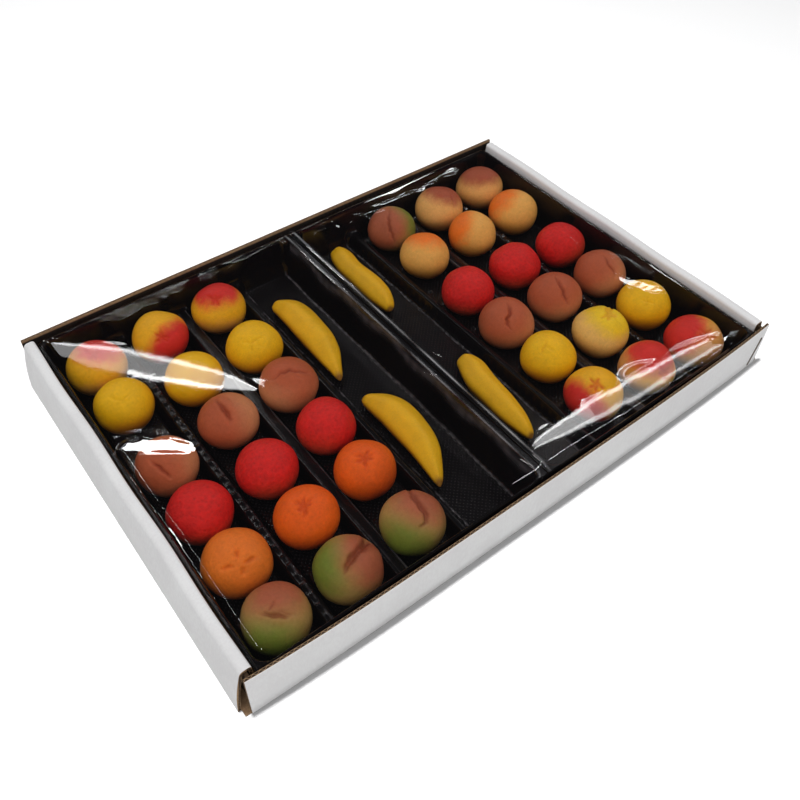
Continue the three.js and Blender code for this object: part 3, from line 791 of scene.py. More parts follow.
FRUITS = {
    "apple_a1": Fruit("apple", (0.3, 0.85, 0.62), dents=[(0.02, 0.62)]),
    "apple_b1": Fruit("apple", (0.6, -0.6, 0.36), dents=[(0.05, 0.04)]),
    "apple_c1": Fruit("apple", (0.0, 0.92, 0.5), dents=[(-0.08, 0.4)]),
    "apple_f6": Fruit("apple", (-0.45, -0.78, 0.32), dents=[(0.03, 0.43)]),
    "apple_g6": Fruit("apple", (0.1, 0.72, 0.52), (-0.9, -0.1), dents=[(0.66, 0.02)]),
    "apple_h6": Fruit("apple", (-0.72, 0.3, 0.42), (0.8, 0.2), [(0.39, 0.43)], [
        Stroke(0.7, 0.7, [(-0.1, 0.56), (0.14, 0.48), (0.3, 0.36)]),
    ]),
    "lemon_a2": Fruit("lemon", (0, 0.7, 0.4), strokes=[
        Stroke(0.65, 0.7, [(-0.38, 0.5), (-0.2, 0.32), (0.05, 0.26), (0.36, 0.4)]),
        Stroke(0.6, 0.55, [(-0.2, 0.1), (0.0, 0.22), (0.25, 0.12)]),
        Stroke(0.6, 0.4, [(0.0, 0.24), (0.02, 0.0)]),
    ]),
    "lemon_b2": Fruit("lemon", (0, 0.7, 0.4)),
    "lemon_c2": Fruit("lemon", (0, 0.7, 0.4), strokes=[
        Stroke(0.65, 0.75, [(-0.36, 0.3), (-0.12, 0.22), (0.12, 0.3), (0.4, 0.42)]),
        Stroke(0.6, 0.55, [(-0.12, 0.22), (-0.1, 0.0), (-0.2, -0.14)]),
        Stroke(0.6, 0.5, [(0.1, 0.3), (0.16, 0.08), (0.36, 0.02)]),
    ]),
    "lemon_f5": Fruit("lemon", (0, 0.7, 0.4), strokes=[
        Stroke(0.75, 0.9, [(-0.17, 0.6), (-0.22, 0.34), (-0.31, 0.06)]),
        Stroke(0.7, 0.7, [(-0.2, 0.38), (-0.02, 0.4), (0.2, 0.28)]),
    ]),
    "lemon_g5": Fruit("pale_lemon", (0.3, 0.85, 0.5), dents=[(0.16, 0.8)], strokes=[
        Stroke(0.7, 0.5, [(0.2, 0.78), (0.42, 0.68), (0.62, 0.5)]),
    ]),
    "lemon_h5": Fruit("lemon", (0, 0.7, 0.4), strokes=[
        Stroke(0.7, 0.7, [(-0.12, 0.24), (0.14, 0.2), (0.42, 0.24)]),
        Stroke(0.7, 0.6, [(0.14, 0.2), (0.14, -0.06)]),
        Stroke(0.6, 0.5, [(0.1, 0.22), (0.02, 0.42)]),
    ]),
    "peach_a3": Fruit("peach", (-0.5, 0.3, 0.4), (0.8, 0.2), strokes=[
        Stroke(1.0, 1.7, [(-0.44, 0.36), (-0.23, 0.04), (-0.1, -0.17), (0.02, -0.36)]),
    ]),
    "peach_b3": Fruit("peach", (-0.7, 0.1, 0.3), (0.75, 0.3), strokes=[
        Stroke(1.25, 2.1, [(-0.28, 0.88), (-0.07, 0.49), (0.04, 0.22), (0.07, -0.02)]),
        Stroke(0.6, 0.7, [(0.07, 0.92), (0.18, 0.74), (0.32, 0.56)]),
    ]),
    "peach_c3": Fruit("peach", (0.2, 0.8, 0.3), (-0.7, -0.1), strokes=[
        Stroke(0.9, 1.4, [(-0.54, 0.26), (-0.22, 0.49), (0.12, 0.56), (0.46, 0.46), (0.72, 0.38)]),
        Stroke(0.6, 0.6, [(0.1, 0.56), (0.4, 0.3), (0.5, 0.2)]),
    ]),
    "peach_f4": Fruit("peach", (-0.3, 0.5, 0.25), (0.85, 0.1), strokes=[
        Stroke(0.9, 1.8, [(-0.06, 0.84), (0.11, 0.46), (0.0, 0.2), (0.05, 0.0), (0.18, -0.17)]),
    ]),
    "peach_g4": Fruit("peach", (-0.2, 0.6, 0.3), (0.2, -0.6), strokes=[
        Stroke(0.85, 1.7, [(-0.16, 0.88), (0.14, 0.51), (0.3, 0.3), (0.38, 0.08), (0.58, -0.16)]),
    ]),
    "peach_h4": Fruit("peach", (-0.5, 0.5, 0.35), (0.5, 0.0), strokes=[
        Stroke(0.8, 1.5, [(0.03, 0.8), (0.27, 0.49), (0.54, 0.24), (0.59, 0.03)]),
    ]),
    "cherry_a4": Fruit("cherry", (0, 0.6, 0.3)),
    "cherry_b4": Fruit("cherry", (0.2, 0.6, 0.3), (0.3, -0.9)),
    "cherry_c4": Fruit("cherry", (-0.2, 0.6, 0.3), (-0.6, -0.5)),
    "cherry_f3": Fruit("cherry", (0.1, 0.7, 0.3)),
    "cherry_g3": Fruit("cherry", (-0.1, 0.6, 0.3), (0.2, -0.95)),
    "cherry_h3": Fruit("cherry", (-0.2, 0.6, 0.3), (0.9, -0.3)),
    "orange_a5": Fruit("pale_orange", (-0.3, 0.6, 0.4), strokes=[
        Stroke(1.0, 1.3, [(0.06, 0.46), (0.07, 0.16)]),
        Stroke(1.0, 1.3, [(-0.44, 0.02), (-0.1, 0.0)]),
        Stroke(1.0, 1.3, [(0.2, 0.03), (0.58, 0.06)]),
        Stroke(1.0, 1.0, [(0.1, -0.1), (0.13, -0.36)]),
    ]),
    "orange_b5": Fruit("orange", (0.1, 0.6, 0.4), dents=[(-0.03, 0.36)], strokes=[
        Stroke(0.8, 1.1, [(-0.03, 0.36), (0.28, 0.6)]),
        Stroke(0.8, 1.1, [(-0.03, 0.36), (-0.36, 0.55)]),
        Stroke(0.9, 1.2, [(-0.03, 0.36), (-0.06, 0.02)]),
    ]),
    "orange_c5": Fruit("orange", (-0.2, 0.6, 0.4), (0.6, -0.5), dents=[(0.0, 0.42)], strokes=[
        Stroke(0.8, 1.1, [(0.0, 0.42), (-0.36, 0.52)]),
        Stroke(0.8, 1.1, [(0.0, 0.42), (0.32, 0.58)]),
        Stroke(0.8, 1.0, [(0.0, 0.42), (-0.04, 0.12)]),
    ]),
    "plum_a6": Fruit("plum", (0.15, 0.85, 0.6), (-0.35, -0.75), strokes=[
        Stroke(1.15, 1.9, [(-0.4, 0.25), (-0.17, 0.17), (0.09, 0.08), (0.35, -0.02)]),
        Stroke(0.8, 1.0, [(0.04, 0.56), (-0.1, 0.38), (-0.2, 0.2)]),
        Stroke(0.7, 0.9, [(-0.06, 0.28), (0.24, 0.13), (0.56, -0.04)]),
    ]),
    "plum_b6": Fruit("plum", (0.75, 0.4, 0.5), (-0.8, 0.15), strokes=[
        Stroke(1.9, 3.6, [(0.78, 1.02), (0.62, 0.84), (0.46, 0.66), (0.3, 0.5)]),
        Stroke(1.5, 3.2, [(0.64, 0.86), (0.49, 0.69), (0.3, 0.54), (0.14, 0.38), (0.0, 0.18), (-0.1, -0.04)]),
    ]),
    "plum_c6": Fruit("plum", (0.25, 0.85, 0.55), (-0.3, -0.75), strokes=[
        Stroke(1.15, 2.6, [(-0.24, 1.08), (-0.15, 0.97), (0.08, 0.68), (0.34, 0.38), (0.42, 0.2), (0.4, 0.05),
                           (0.24, -0.08)]),
    ]),
    "plum_f1": Fruit("plum", (-0.6, 0.1, 0.3), (0.85, 0.45), strokes=[
        Stroke(1.1, 1.6, [(-0.1, 0.9), (-0.14, 0.5), (-0.1, 0.1), (0.04, -0.3), (0.12, -0.6)]),
    ]),
    "plum_g1": Fruit("russet", (0.2, 0.95, 0.55), strokes=[
        Stroke(0.7, 0.8, [(0.46, 0.7), (0.6, 0.4), (0.62, 0.1)]),
    ]),
    "plum_h1": Fruit("russet", (-0.1, 0.95, 0.45)),
    "apricot_f2": Fruit("apricot", (0.0, 0.98, 0.62)),
    "apricot_g2": Fruit("apricot", (-0.9, 0.3, 0.5)),
    "apricot_h2": Fruit("apricot", (-0.75, 0.6, 0.6)),
}


def seen_frame(place):
    """From a fruit's middle, the directions towards the camera, to its right and to its top."""
    towards = CAMERA_PLACE - place
    towards /= np.linalg.norm(towards)
    right = np.cross([0, 0, 1], towards)
    right /= np.linalg.norm(right)
    return towards, right, np.cross(towards, right)


def seen_way(place, shares):
    """The direction from a fruit's middle to what the camera sees at these shares of its radius, right and up."""
    towards, right, up = seen_frame(place)
    length = min(math.hypot(*shares), 1.0)
    return right * shares[0] + up * shares[1] + towards * math.sqrt(max(1 - length**2, 0.0))


def stroke_depth(stroke, across, up):
    """Depth of a groove at places seen from the camera, in millimetres: a bell in the distance to the nearest of its
    straight parts, narrower and shallower towards the ends of the run, with a faint lip along its right side."""
    across = across + 0.25 * np.sin(up * 1.3 + 1.7 * stroke.deep)
    up = up + 0.25 * np.sin(across * 1.1 + 2.9 * stroke.width)
    places = np.array(stroke.places, float) * ROUND_RADIUS
    steps = np.diff(places, axis=0)
    lengths = np.linalg.norm(steps, axis=1)
    nearest = np.full(across.shape, 1e9)
    where, side = np.zeros(across.shape), np.zeros(across.shape)
    done = 0.0
    for start, step, length in zip(places, steps, lengths):
        dx, dy = across - start[0], up - start[1]
        share = np.clip((dx * step[0] + dy * step[1]) / length**2, 0, 1)
        away = np.hypot(dx - share * step[0], dy - share * step[1])
        closer = away < nearest
        nearest = np.where(closer, away, nearest)
        where = np.where(closer, done + share * length, where)
        side = np.where(closer, dy * step[0] - dx * step[1], side)
        done += length
    run = np.sin(math.pi * (0.06 + 0.88 * where / done))
    width = stroke.width * (0.4 + 0.6 * run**0.5)
    lip = 0.22 * np.exp(-(((nearest - 2.2 * width) / (1.2 * width)) ** 2)) * (side < 0)
    valley = 0.72 * np.exp(-((nearest / width) ** 2)) + 0.28 * np.exp(-((nearest / (3.2 * width)) ** 2))
    return stroke.deep * run**0.7 * (valley - lip)


def dent_depth(at, across, up, seed):
    """Depth of a pit with five short rays, in millimetres: a bell in the distance to its middle, and a groove for
    each ray."""
    x, y = at[0] * ROUND_RADIUS, at[1] * ROUND_RADIUS
    draw = np.random.default_rng(seed)
    depth = 1.7 * np.exp(-((across - x) ** 2 + (up - y) ** 2) / 4.2)
    for angle in np.arange(5) * TAU / 5 + draw.uniform(-0.3, 0.3, 5):
        reach = draw.uniform(3.6, 5.6) / ROUND_RADIUS
        end = (at[0] + reach * math.cos(angle), at[1] + reach * math.sin(angle))
        depth = np.maximum(depth, stroke_depth(Stroke(1.0, 1.25, [at, end]), across, up))
    return depth


def fruit_ball(name, fruit, finish):
    """A ball of rings round the direction towards the camera, a little flattened, with slow swellings and a flat foot.
    Every point is moved in along its direction by the depth of the grooves and pits there."""
    low, high = (np.array(corner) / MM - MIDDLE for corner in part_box(name))
    x0, y0 = (low[:2] + high[:2]) / 2
    size = (high[0] - low[0]) / 2 / ROUND_RADIUS
    place = np.array([x0, y0, FRUIT_CENTRE])
    seed = sum(ord(letter) * (i + 3) for i, letter in enumerate(name))
    towards, right, top = seen_frame(place)
    columns, rows = 120, 84
    around = np.arange(columns) / columns * TAU
    tilt = np.linspace(0, math.pi, rows + 2)[1:-1]
    aa, tt = np.meshgrid(around, tilt)
    flat = np.sin(tt)
    way = (flat * np.cos(aa))[..., None] * right + (flat * np.sin(aa))[..., None] * top
    way = way + np.cos(tt)[..., None] * towards
    swell = 1 + 0.02 * slow_waves(seed, 5, *(way[..., axis] * 0.45 for axis in range(3)))
    across, up = way @ right * ROUND_RADIUS, way @ top * ROUND_RADIUS
    depth = np.zeros(across.shape)
    for stroke in fruit.strokes:
        pressed = stroke_depth(stroke, across, up)
        depth = np.where(np.abs(pressed) > np.abs(depth), pressed, depth)
    pit = np.zeros(across.shape)
    for number, at in enumerate(fruit.dents):
        pit = np.maximum(pit, dent_depth(at, across, up, seed + number))
    near = smooth((way @ towards + 0.35) / 0.35)
    # Painted shade for the grooves and pits, by depth, carried to the finish as groove.
    shade = near * np.maximum(0.6 * smooth((depth - 0.2) / 1.3), 0.6 * smooth((pit - 0.1) / 0.9))
    depth = near * np.maximum(depth, pit)
    radii = np.array([ROUND_RADIUS * size * 1.012, ROUND_RADIUS * size * 1.012, ROUND_RISE * (0.9 + 0.1 * size)])
    points = place + way * radii * swell[..., None] - way * depth[..., None]
    total = rows * columns
    ends = np.stack([points[0].mean(0), points[-1].mean(0)])
    everything = np.vstack([points.reshape(-1, 3), ends])
    everything[:, 2] = np.clip(everything[:, 2], FRUIT_FOOT, FRUIT_TOP)
    ring = np.arange(columns)
    faces = [
        grid_faces(rows, columns, wrap=True)[:, ::-1],
        fan_faces(ring, total, over=True),
        fan_faces(ring + (rows - 1) * columns, total + 1, over=False),
    ]
    shape = np.ones((len(everything), 3))
    values = {
        "own_place": np.vstack([way.reshape(-1, 3), towards, -towards]),
        "groove": np.concatenate([shade.ravel(), [shade[0].mean(), 0.0]]),
        "spray_way": shape * seen_way(place, fruit.spray[:2]),
        "spray_edge": np.full(len(everything), fruit.spray[2]),
        "under_way": shape * seen_way(place, fruit.under),
    }
    make_piece(name, everything, faces, [finish], [name], values=values)


def fruits():
    """All the round fruits and the bananas, with one finish for each kind."""
    finishes = {kind: marzipan(kind) for kind in PAINTS}
    for name, fruit in FRUITS.items():
        fruit_ball(name, fruit, finishes[fruit.paint])
    for banana in BANANAS:
        add_banana(banana, finishes["banana"])


Banana = namedtuple("Banana", "name stations")
"""stations are X, Y and half width from the back tip to the front one."""

BANANAS = [
    Banana("banana_d1", [(-33.5, 84, 3.0), (-29.3, 72, 8.2), (-28.5, 60.5, 9.0), (-29.1, 49, 9.0), (-29.8, 38, 8.8),
                         (-31, 28, 7.2), (-33.5, 17, 3.6), (-35.8, 9.5, 1.6)]),
    Banana("banana_d2", [(-34, -9.5, 2.8), (-30, -20.5, 7.6), (-27.8, -31, 9.2), (-27.5, -41.5, 9.4),
                         (-28.4, -52, 8.8), (-30.6, -62.5, 7.2), (-34, -73, 4.0), (-36.8, -80, 1.4)]),
    Banana("banana_e1", [(26.3, 102.5, 4.8), (24, 92.5, 7.4), (22.6, 82, 7.0), (23, 71.5, 7.4), (23.5, 61, 7.8),
                         (22.8, 51, 7.2), (21.8, 42.5, 5.0), (21.2, 38, 2.5)]),
    Banana("banana_e2", [(29, -19.5, 4.6), (27.8, -30, 7.8), (24.3, -41.5, 8.4), (23.6, -51.7, 7.8),
                         (23.3, -61.6, 7.4), (23, -71.5, 6.2), (22, -80.5, 3.9), (21.6, -85.5, 1.8)]),
]
BANANA_HALF_WIDTH = 9.0


def add_banana(banana, finish):
    """Sections carried along a bent line: a rounded, faintly five-sided section, which the stations and a short
    running mean along them make thinner towards a tip at each end."""
    rows, columns = 110, 72
    stations = np.array(banana.stations, float)
    at = np.linspace(0, len(stations) - 1, rows)
    run = np.stack([np.interp(at, np.arange(len(stations)), column) for column in stations.T], -1)
    window = np.hanning(23)[1:-1]
    padded = np.pad(run, ((10, 10), (0, 0)), mode="reflect", reflect_type="odd")
    run = np.stack([np.convolve(column, window / window.sum(), "valid") for column in padded.T], -1)
    spine, half = run[:, :2], run[:, 2]
    end = np.minimum(np.arange(rows), rows - 1 - np.arange(rows))
    half = half * np.sqrt(1 - (1 - np.minimum((end + 0.5) / 6, 1)) ** 2)
    girth = half / BANANA_HALF_WIDTH
    along = np.gradient(spine, axis=0)
    along /= np.linalg.norm(along, axis=1)[:, None]
    angle = np.arange(columns) / columns * TAU
    ridges = 1 + 0.035 * np.cos(5 * (angle - math.pi / 2))
    across = np.cos(angle) * ridges * half[:, None]
    rise = 0.78 * half + 1.0 * smooth(half / 4)
    height = rise[:, None] * (1 + np.sin(angle) * ridges)
    lift = 4.2 * np.maximum(1 - girth, 0) ** 1.5
    x = spine[:, :1] - along[:, 1:] * across
    y = spine[:, 1:] + along[:, :1] * across
    z = FRUIT_FOOT - 0.4 + height + lift[:, None]
    points = np.stack([x, y, z], -1)
    wobble = slow_waves(7, 5, points[..., 0] / 30, points[..., 1] / 30, points[..., 2] / 30)
    points += 0.18 * wobble[..., None] * np.array([1, 1, 0.5])
    points[..., 2] = np.maximum(points[..., 2], FRUIT_FOOT)
    total = rows * columns
    ends = np.stack([points[0].mean(0), points[-1].mean(0)])
    ends[:, :2] += np.stack([-along[0], along[-1]]) * 0.4
    ring = np.arange(columns)
    faces = [
        grid_faces(rows, columns, wrap=True),
        fan_faces(ring, total, over=False),
        fan_faces(ring + (rows - 1) * columns, total + 1, over=True),
    ]
    everything = np.vstack([points.reshape(-1, 3), ends])
    own = np.stack([np.cos(angle), np.zeros(columns), np.sin(angle)], -1)
    own = np.vstack([np.tile(own, (rows, 1)), [[0, 0, 0]], [[0, 0, 0]]])
    tips = np.repeat(smooth((0.34 - girth) / 0.16), columns)
    shape = np.ones((len(everything), 3))
    values = {
        "own_place": own,
        "groove": np.concatenate([tips, [1.0, 1.0]]),
        "spray_way": shape * np.array([0.0, 0, 1]),
        "spray_edge": np.full(len(everything), 0.4),
        "under_way": shape * np.array([-0.75, 0, -0.65]),
    }
    make_piece(banana.name, everything, faces, [finish], [banana.name], values=values)


# Film

Facet = namedtuple("Facet", "lamp corners ripple pleats bulge", defaults=(0.0, None, 0.0))
Crease = namedtuple("Crease", "lamp width places ripple", defaults=(0.0,))

FACETS = [
    Facet("band", [(-158, 108), (-148, 106), (-124, 82), (-102, 58), (-88, 32), (-82, 12), (-86, 8), (-96, 16),
                   (-112, 30), (-130, 48), (-146, 68), (-156, 94)], bulge=6.4),
    Facet("back_left", [(-161.5, 19.4), (-156.5, 19.2), (-154.5, 21), (-153, 20.7), (-151, 18.6), (-148.5, 18.4),
                        (-145, 16.4), (-141.5, 13.8), (-139.5, 13.8), (-136.5, 9.6), (-133.5, 5), (-130.5, 1),
                        (-129, -2.3), (-129.5, -4.8), (-131, -5), (-138, 1.4), (-147.5, 8.9)], ripple=0.001),
    Facet("drop", [(-3, -103), (14, -95), (40, -96), (80, -96.5), (112, -98), (136, -103), (150, -111), (146, -115),
                   (120, -115), (60, -114.5), (20, -112), (4, -109)], bulge=4.7),
    Facet("far_back", [(39.5, 111), (55.5, 105.5), (79.5, 104.5), (100.5, 104.5), (115, 106.5), (126, 109),
                       (132.5, 104), (125, 99.5), (110, 100.5), (84.5, 100.5), (61.5, 102.5)],
          ripple=0.03, pleats=(0.97, -0.2, 4.0)),
    Facet("back_right", [(134, -36.5), (135.5, -42.5), (141.5, -49), (145.5, -56.5), (146.5, -65), (140.5, -61),
                         (135, -54.5), (130.5, -46.5), (130.5, -41)], ripple=0.003),
]

CREASES = [
    Crease("far_left", 1.5, [(-161.5, 20.5), (-157, 23.8), (-151.5, 23.5), (-146, 21), (-141, 17.3), (-137.5, 13)]),
    Crease("long_left", 1.9, [(-162.5, 16), (-162, 4), (-161.5, -6), (-162, -14), (-160.5, -27), (-160, -41),
                              (-160.5, -56), (-161, -79), (-162.5, -92)], 0.004),
    Crease("back_right", 1.6, [(136.5, 3.5), (138, -1.5)]),
    Crease("far_left", 1.5, [(-161, 114), (-155.5, 112)]),
    Crease("long_right", 1.4, [(4.5, -23), (7, -27)], 0.02),
    Crease("long_right", 1.4, [(-7.5, -31), (-4.5, -34.5)], 0.02),
    Crease("long_right", 1.2, [(144.5, -22), (150.5, -33), (152.5, -50.5)], 0.01),
    Crease("long_back", 1.2, [(-126, 108.5), (-70, 110), (-20, 111.5), (-9, 108)], 0.02),
    Crease("long_back", 1.1, [(-122, 105), (-66, 106.5), (-18, 108)], 0.05),
    Crease("far_back", 1.3, [(12, 103), (30, 100.5), (52, 97.5)], 0.03),
    Crease("far_back", 1.3, [(20, 108), (38, 106), (60, 98.5)], 0.03),
    Crease("right_bar", 1.3, [(-160, -111), (-153.5, -115.5)]),
    Crease("right_bar", 1.3, [(-157, -108), (-157.5, -115)]),
    Crease("right_bar", 1.0, [(-18, -116), (-7, -116)]),
    Crease("right_bar", 1.0, [(0.5, -112), (4, -116), (12, -116)]),
    Crease("right_bar", 1.2, [(135, -107.5), (147, -113.5)]),
    Crease("right_bar", 1.2, [(143.5, -108), (139, -114)]),
]


def nearest_on(places, x, y):
    """Distance from each x, y to a run of straight parts, and how far along the run its nearest place is."""
    places = np.array(places, float)
    away, along = np.full(x.shape, 1e9), np.zeros(x.shape)
    done = 0.0
    for start, end in zip(places[:-1], places[1:]):
        step = end - start
        length = np.linalg.norm(step)
        share = np.clip(((x - start[0]) * step[0] + (y - start[1]) * step[1]) / length**2, 0, 1)
        off = np.hypot(x - start[0] - share * step[0], y - start[1] - share * step[1])
        closer = off < away
        away, along = np.where(closer, off, away), np.where(closer, done + share * length, along)
        done += length
    return away, along / done


def within(corners, x, y):
    """Whether each x, y lies inside a ring of corners: how many of its sides a line to the right crosses."""
    crossed = np.zeros(x.shape, bool)
    for (x0, y0), (x1, y1) in zip(corners, corners[1:] + corners[:1]):
        if y0 == y1:
            continue
        crossed ^= ((y0 > y) != (y1 > y)) & (x < x0 + (y - y0) / (y1 - y0) * (x1 - x0))
    return crossed


def mirror_slope(x, y, lamp, bulge=0.0):
    """Slopes along X and Y of a film that mirrors a lamp to the camera. It is the place of the lamp nearest to what
    level film would mirror, and the film lies level across the direction half way between the two. With a bulge the
    film bends a little instead, so that a long lamp shows as a lens with pointed ends and this half width."""
    place = np.stack([x, y, np.full(x.shape, FILM_CROWN)], -1)
    to_camera = CAMERA_PLACE - place
    rise = lamp.place[2] - FILM_CROWN
    turn = math.radians(lamp.turn)
    axes = np.array([[math.cos(turn), math.sin(turn)], [-math.sin(turn), math.cos(turn)]])
    level = place[..., :2] - to_camera[..., :2] * rise / to_camera[..., 2:] - lamp.place[:2]
    level = level @ axes.T
    half_long, half_wide = np.array(lamp.size) / 2
    if bulge:
        wanted = 0.9 + bulge * np.clip(1 - np.abs(level[..., 0] / half_long) ** 3, 0, 1)
        target = level * np.stack([np.ones(x.shape), half_wide * FILM_SHRINK / wanted], -1)
    else:
        reach = np.array(lamp.size) * 0.36
        target = np.clip(level, -reach, reach)
    target = target @ axes + lamp.place[:2]
    to_lamp = np.concatenate([target - place[..., :2], np.full(x.shape + (1,), rise)], -1)
    half = to_camera / np.linalg.norm(to_camera, axis=-1, keepdims=True)
    half = half + to_lamp / np.linalg.norm(to_lamp, axis=-1, keepdims=True)
    return -half[..., 0] / half[..., 2], -half[..., 1] / half[..., 2]


def film_base(x, y):
    """Height of the film without its folds: from the rims up to the fruits' tops, a shallow valley along the seam and
    slow waves."""
    in_x = INSERT_FAR - np.abs(x)
    in_y = INSERT_HALF_DEPTH - np.abs(y)
    climb = ramp(in_x / 4) * ramp(in_y / 4.5)
    seam = SEAM_VALLEY * np.clip(1 - np.abs(x) / SEAM_VALLEY_HALF, 0, 1)
    waves = FILM_WAVES * slow_waves(5, 6, x / 60, y / 60)
    return FILM_RIM + (FILM_CROWN - FILM_RIM - seam + waves) * climb


def film_slopes(x, y, base):
    """Slopes that the film should have along X and Y, and how firmly: those of its plain form, in each facet and
    crease those that mirror a lamp, with a little ripple. Around a facet and along its pleats the film folds freely."""
    slope_y, slope_x = np.gradient(base, FILM_STEP)
    firm = np.full(x.shape, FLAT_FIRM)
    for number, facet in enumerate(FACETS):
        inside = within(facet.corners, x, y)
        rim, _ = nearest_on(facet.corners + facet.corners[:1], x, y)
        sx, sy = mirror_slope(x, y, LAMPS[facet.lamp], facet.bulge)
        way = facet.pleats or (1.0, 0.0, 0.0)
        along, across = way[0] * x + way[1] * y, way[0] * y - way[1] * x
        wave = facet.ripple * slow_waves(40 + number, 5, across / 6, along / 160)
        slope_x = np.where(inside, sx - way[1] * wave, slope_x)
        slope_y = np.where(inside, sy + way[0] * wave, slope_y)
        edge = INSERT_HALF_DEPTH - np.abs(y) < 8
        wide, ring = (4.0, np.where(edge, 0.02, FLAT_FIRM)) if facet.bulge else (1.3, FOLD_FIRM)
        firm = np.where(inside, 1.0 + facet.bulge, np.where(rim < wide, ring, firm))
        if facet.pleats:
            wander = across + 1.2 * slow_waves(60 + number, 4, along / 90, across / 40)
            folded = np.abs((wander / way[2] + 0.5) % 1 - 0.5) * way[2] < 0.6
            firm = np.where(inside & folded, FOLD_FIRM, firm)
    for number, crease in enumerate(CREASES):
        away, along = nearest_on(crease.places, x, y)
        width = crease.width * (1 - 0.55 * (2 * along - 1) ** 2)
        inside = away < width / 2 + 0.15
        sx, sy = mirror_slope(x, y, LAMPS[crease.lamp])
        wave = crease.ripple * slow_waves(80 + number, 6, 7 * along)
        slope_x, slope_y = np.where(inside, sx + wave, slope_x), np.where(inside, sy + wave, slope_y)
        firm = np.where(inside, 1.0, np.where(away < width / 2 + 1.3, FOLD_FIRM, firm))
    return slope_x, slope_y, firm


def least_film(x, y):
    """The lowest that the film may lie: just over each fruit's dome, and over the rims elsewhere."""
    low = np.full(x.shape, FILM_LOWEST)
    for name in FRUITS:
        corner, other = (np.array(end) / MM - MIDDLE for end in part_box(name))
        centre, radius = (corner[:2] + other[:2]) / 2, (other[0] - corner[0]) / 2
        away = np.minimum(np.hypot(x - centre[0], y - centre[1]) / radius, 1)
        dome = FRUIT_CENTRE + 1.04 * ROUND_RISE * np.sqrt(1 - away**2)
        low = np.maximum(low, np.minimum(dome, FRUIT_TOP) + FILM_SLACK)
    return low


def settle(base, slope_x, slope_y, firm, hold, rounds=260):
    """The height whose steps between neighbours come closest to the wanted slopes, weighted by how firm they are, and
    which stays near base where hold is large: conjugate gradients on the least-squares equations."""
    firm_x, firm_y = np.minimum(firm[:, 1:], firm[:, :-1]), np.minimum(firm[1:], firm[:-1])
    want_x = (slope_x[:, 1:] + slope_x[:, :-1]) / 2 * FILM_STEP
    want_y = (slope_y[1:] + slope_y[:-1]) / 2 * FILM_STEP

    def spread(flow_x, flow_y):
        out = np.zeros(base.shape)
        out[:, 1:] += flow_x
        out[:, :-1] -= flow_x
        out[1:] += flow_y
        out[:-1] -= flow_y
        return out

    def apply(height):
        return spread(firm_x * np.diff(height, axis=1), firm_y * np.diff(height, axis=0)) + hold * height

    scale = hold.copy()
    scale[:, 1:] += firm_x
    scale[:, :-1] += firm_x
    scale[1:] += firm_y
    scale[:-1] += firm_y
    height = base.copy()
    rest = spread(firm_x * want_x, firm_y * want_y) + hold * base - apply(height)
    eased = rest / scale
    way, size = eased.copy(), (rest * eased).sum()
    for _ in range(rounds):
        pushed = apply(way)
        reach = size / (way * pushed).sum()
        height += reach * way
        rest -= reach * pushed
        eased = rest / scale
        new_size = (rest * eased).sum()
        way, size = eased + new_size / size * way, new_size
    return height


def film(finish):
    """The film in two halves that meet over the seam: one height over a fine grid of X and Y."""
    half_x, half_y = INSERT_FAR + 0.3, INSERT_HALF_DEPTH + 0.5
    middle, last = round(half_x / FILM_STEP), 2 * round(half_y / FILM_STEP)
    x, y = np.meshgrid(np.linspace(-half_x, half_x, 2 * middle + 1), np.linspace(-half_y, half_y, last + 1))
    base = film_base(x, y)
    hold = np.full(x.shape, FILM_HOLD)
    hold[0], hold[-1], hold[:, 0], hold[:, -1] = 1.0, 1.0, 1.0, 1.0
    slope_x, slope_y, firm = film_slopes(x, y, base)
    inner = (half_x - np.abs(x) > 10) & (half_y - np.abs(y) > 10)
    low = np.where(inner, least_film(x, y), FILM_RIM - 1.5)
    aim = base
    for _ in range(2):
        height = settle(aim, slope_x, slope_y, firm, hold)
        outside = (height < low) | (height > FILM_HIGHEST)
        aim = np.where(outside, np.clip(height, low, FILM_HIGHEST), aim)
        hold = np.where(outside, STUCK_HOLD, hold)
    height = np.clip(height, low, FILM_HIGHEST)
    # Painted glint: along each seam line a shallow groove and white colour.
    seam_glint = np.zeros(x.shape)
    for at, whiteness in SEAM_LINES:
        line = np.exp(-(((x - at) / 0.5) ** 2)) * ramp((INSERT_HALF_DEPTH - np.abs(y)) / 8)
        height -= SEAM_GROOVE * line
        seam_glint += whiteness * line * np.clip(0.6 + 0.3 * slow_waves(91, 5, y / 30), 0.1, 1)
    points = np.stack([x, y, height], -1)
    for name, columns in (("film_left", slice(0, middle + 1)), ("film_right", slice(middle, None))):
        make_piece(
            name, points[:, columns], [grid_faces(last + 1, middle + 1)], [finish], ["film"],
            values={"seam_glint": seam_glint[:, columns].ravel()},
        )


# Room, lamps and camera

def floor():
    """A plain pale sheet just under the carton. The camera sees it brighter than it lights the walls."""
    half, z = 3000.0, -0.05
    points = np.array([[-half, -half, z], [half, -half, z], [half, half, z], [-half, half, z]])
    mesh = bpy.data.meshes.new("floor")
    mesh.from_pydata((points * MM).tolist(), [], [[0, 1, 2, 3]])
    sheet = bpy.data.objects.new("floor", mesh)
    bpy.context.scene.collection.objects.link(sheet)
    material, nodes, shader = new_finish("white_floor")
    seen = nodes.put("LightPath").outputs["Is Camera Ray"]
    colour = nodes.blend(seen, (0.21, 0.21, 0.21, 1), (0.43, 0.43, 0.43, 1))
    dress(nodes, shader, Base_Color=colour, Roughness=0.9, Specular_IOR_Level=0.1)
    mesh.materials.append(material)
    return sheet


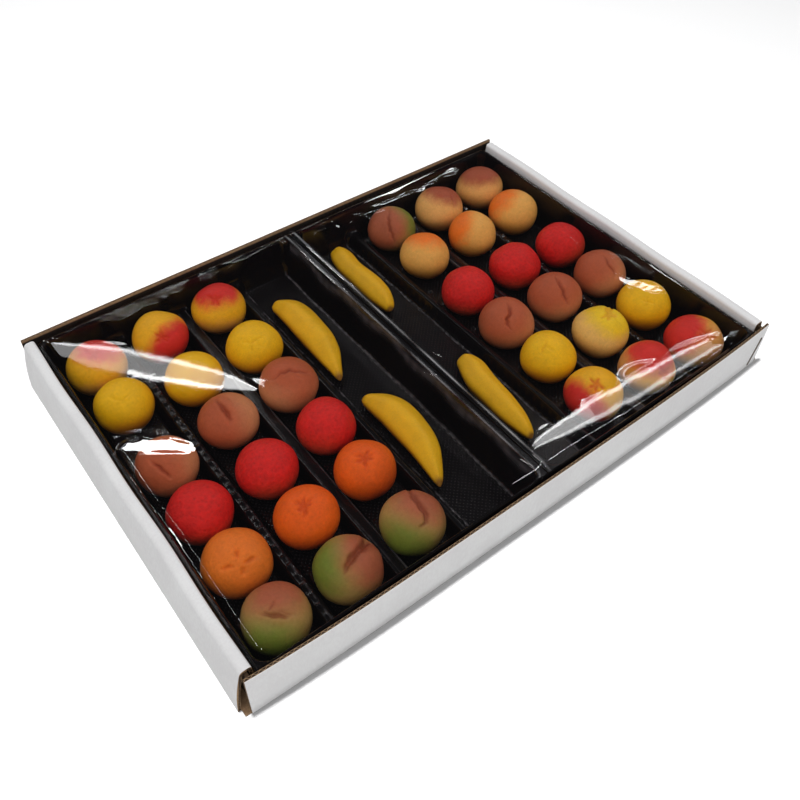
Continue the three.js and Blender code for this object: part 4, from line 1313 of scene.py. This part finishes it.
def lamp(name, place, size, radiance, turn=0.0, mirrored=True, aim=False):
    """A rectangular lamp of a given brightness that faces down, or the carton where aim is true. turn is about the
    vertical in degrees, and mirrored says whether glossy surfaces show it."""
    width, depth = (side * MM for side in size)
    data = bpy.data.lights.new(name, "AREA")
    data.shape = "RECTANGLE"
    data.size, data.size_y = width, depth
    data.energy = radiance * math.pi * width * depth
    lamp_object = bpy.data.objects.new(name, data)
    lamp_object.location = (np.array(place, float) + MIDDLE) * MM
    lamp_object.rotation_euler = (0, 0, math.radians(turn))
    lamp_object.visible_glossy = mirrored
    if aim:
        lamp_object.rotation_euler = lamp_object.location.to_track_quat("Z", "Y").to_euler()
    bpy.context.scene.collection.objects.link(lamp_object)
    return lamp_object


def contact_lamp(sheet):
    """A small bright lamp for the floor alone, behind the carton: it draws the narrow shadow along the front wall."""
    key = lamp("contact", (-130, -40, 1500), (90, 90), 2000.0, mirrored=False)
    lit = bpy.data.collections.new("lit_by_contact_lamp")
    lit.objects.link(sheet)
    key.light_linking.receiver_collection = lit


def room():
    """Even light all round, two soft lamps that light the surfaces, and the lamps that only glossy ones mirror."""
    world = bpy.data.worlds.new("room")
    bpy.context.scene.world = world
    world.use_nodes = True
    world.node_tree.nodes.clear()
    nodes = Nodes(world.node_tree)
    mirrored = nodes.put("LightPath").outputs["Is Glossy Ray"]
    colour = nodes.blend(mirrored, (0.58, 0.58, 0.59, 1), (0.02, 0.02, 0.022, 1))
    nodes.put("OutputWorld", nodes.put("Background", colour, 1.0).outputs[0])
    lamp("overhead", (-200, -300, 1500), (1500, 1200), 0.8, mirrored=False)
    lamp("beside_camera", (-260, -740, 900), (700, 700), 0.8, mirrored=False, aim=True)
    for name, seen in LAMPS.items():
        lamp(name, *seen).visible_diffuse = False


def camera():
    """The camera at the photograph's place and angle."""
    data = bpy.data.cameras.new("camera")
    data.lens = CAMERA_LENS
    data.sensor_width = 36
    data.shift_y = CAMERA_RISE
    data.clip_start = 0.01
    view = bpy.data.objects.new("camera", data)
    view.location = (CAMERA_PLACE + MIDDLE) * MM
    view.rotation_euler = [math.radians(v) for v in CAMERA_TURN]
    bpy.context.scene.collection.objects.link(view)
    bpy.context.scene.camera = view


bpy.context.scene.view_settings.view_transform = "Standard"
camera()
room()
contact_lamp(floor())
carton()
plastic = black_plastic()
insert("insert_left", 1, plastic)
insert("insert_right", -1, plastic)
fruits()
film(clear_film())
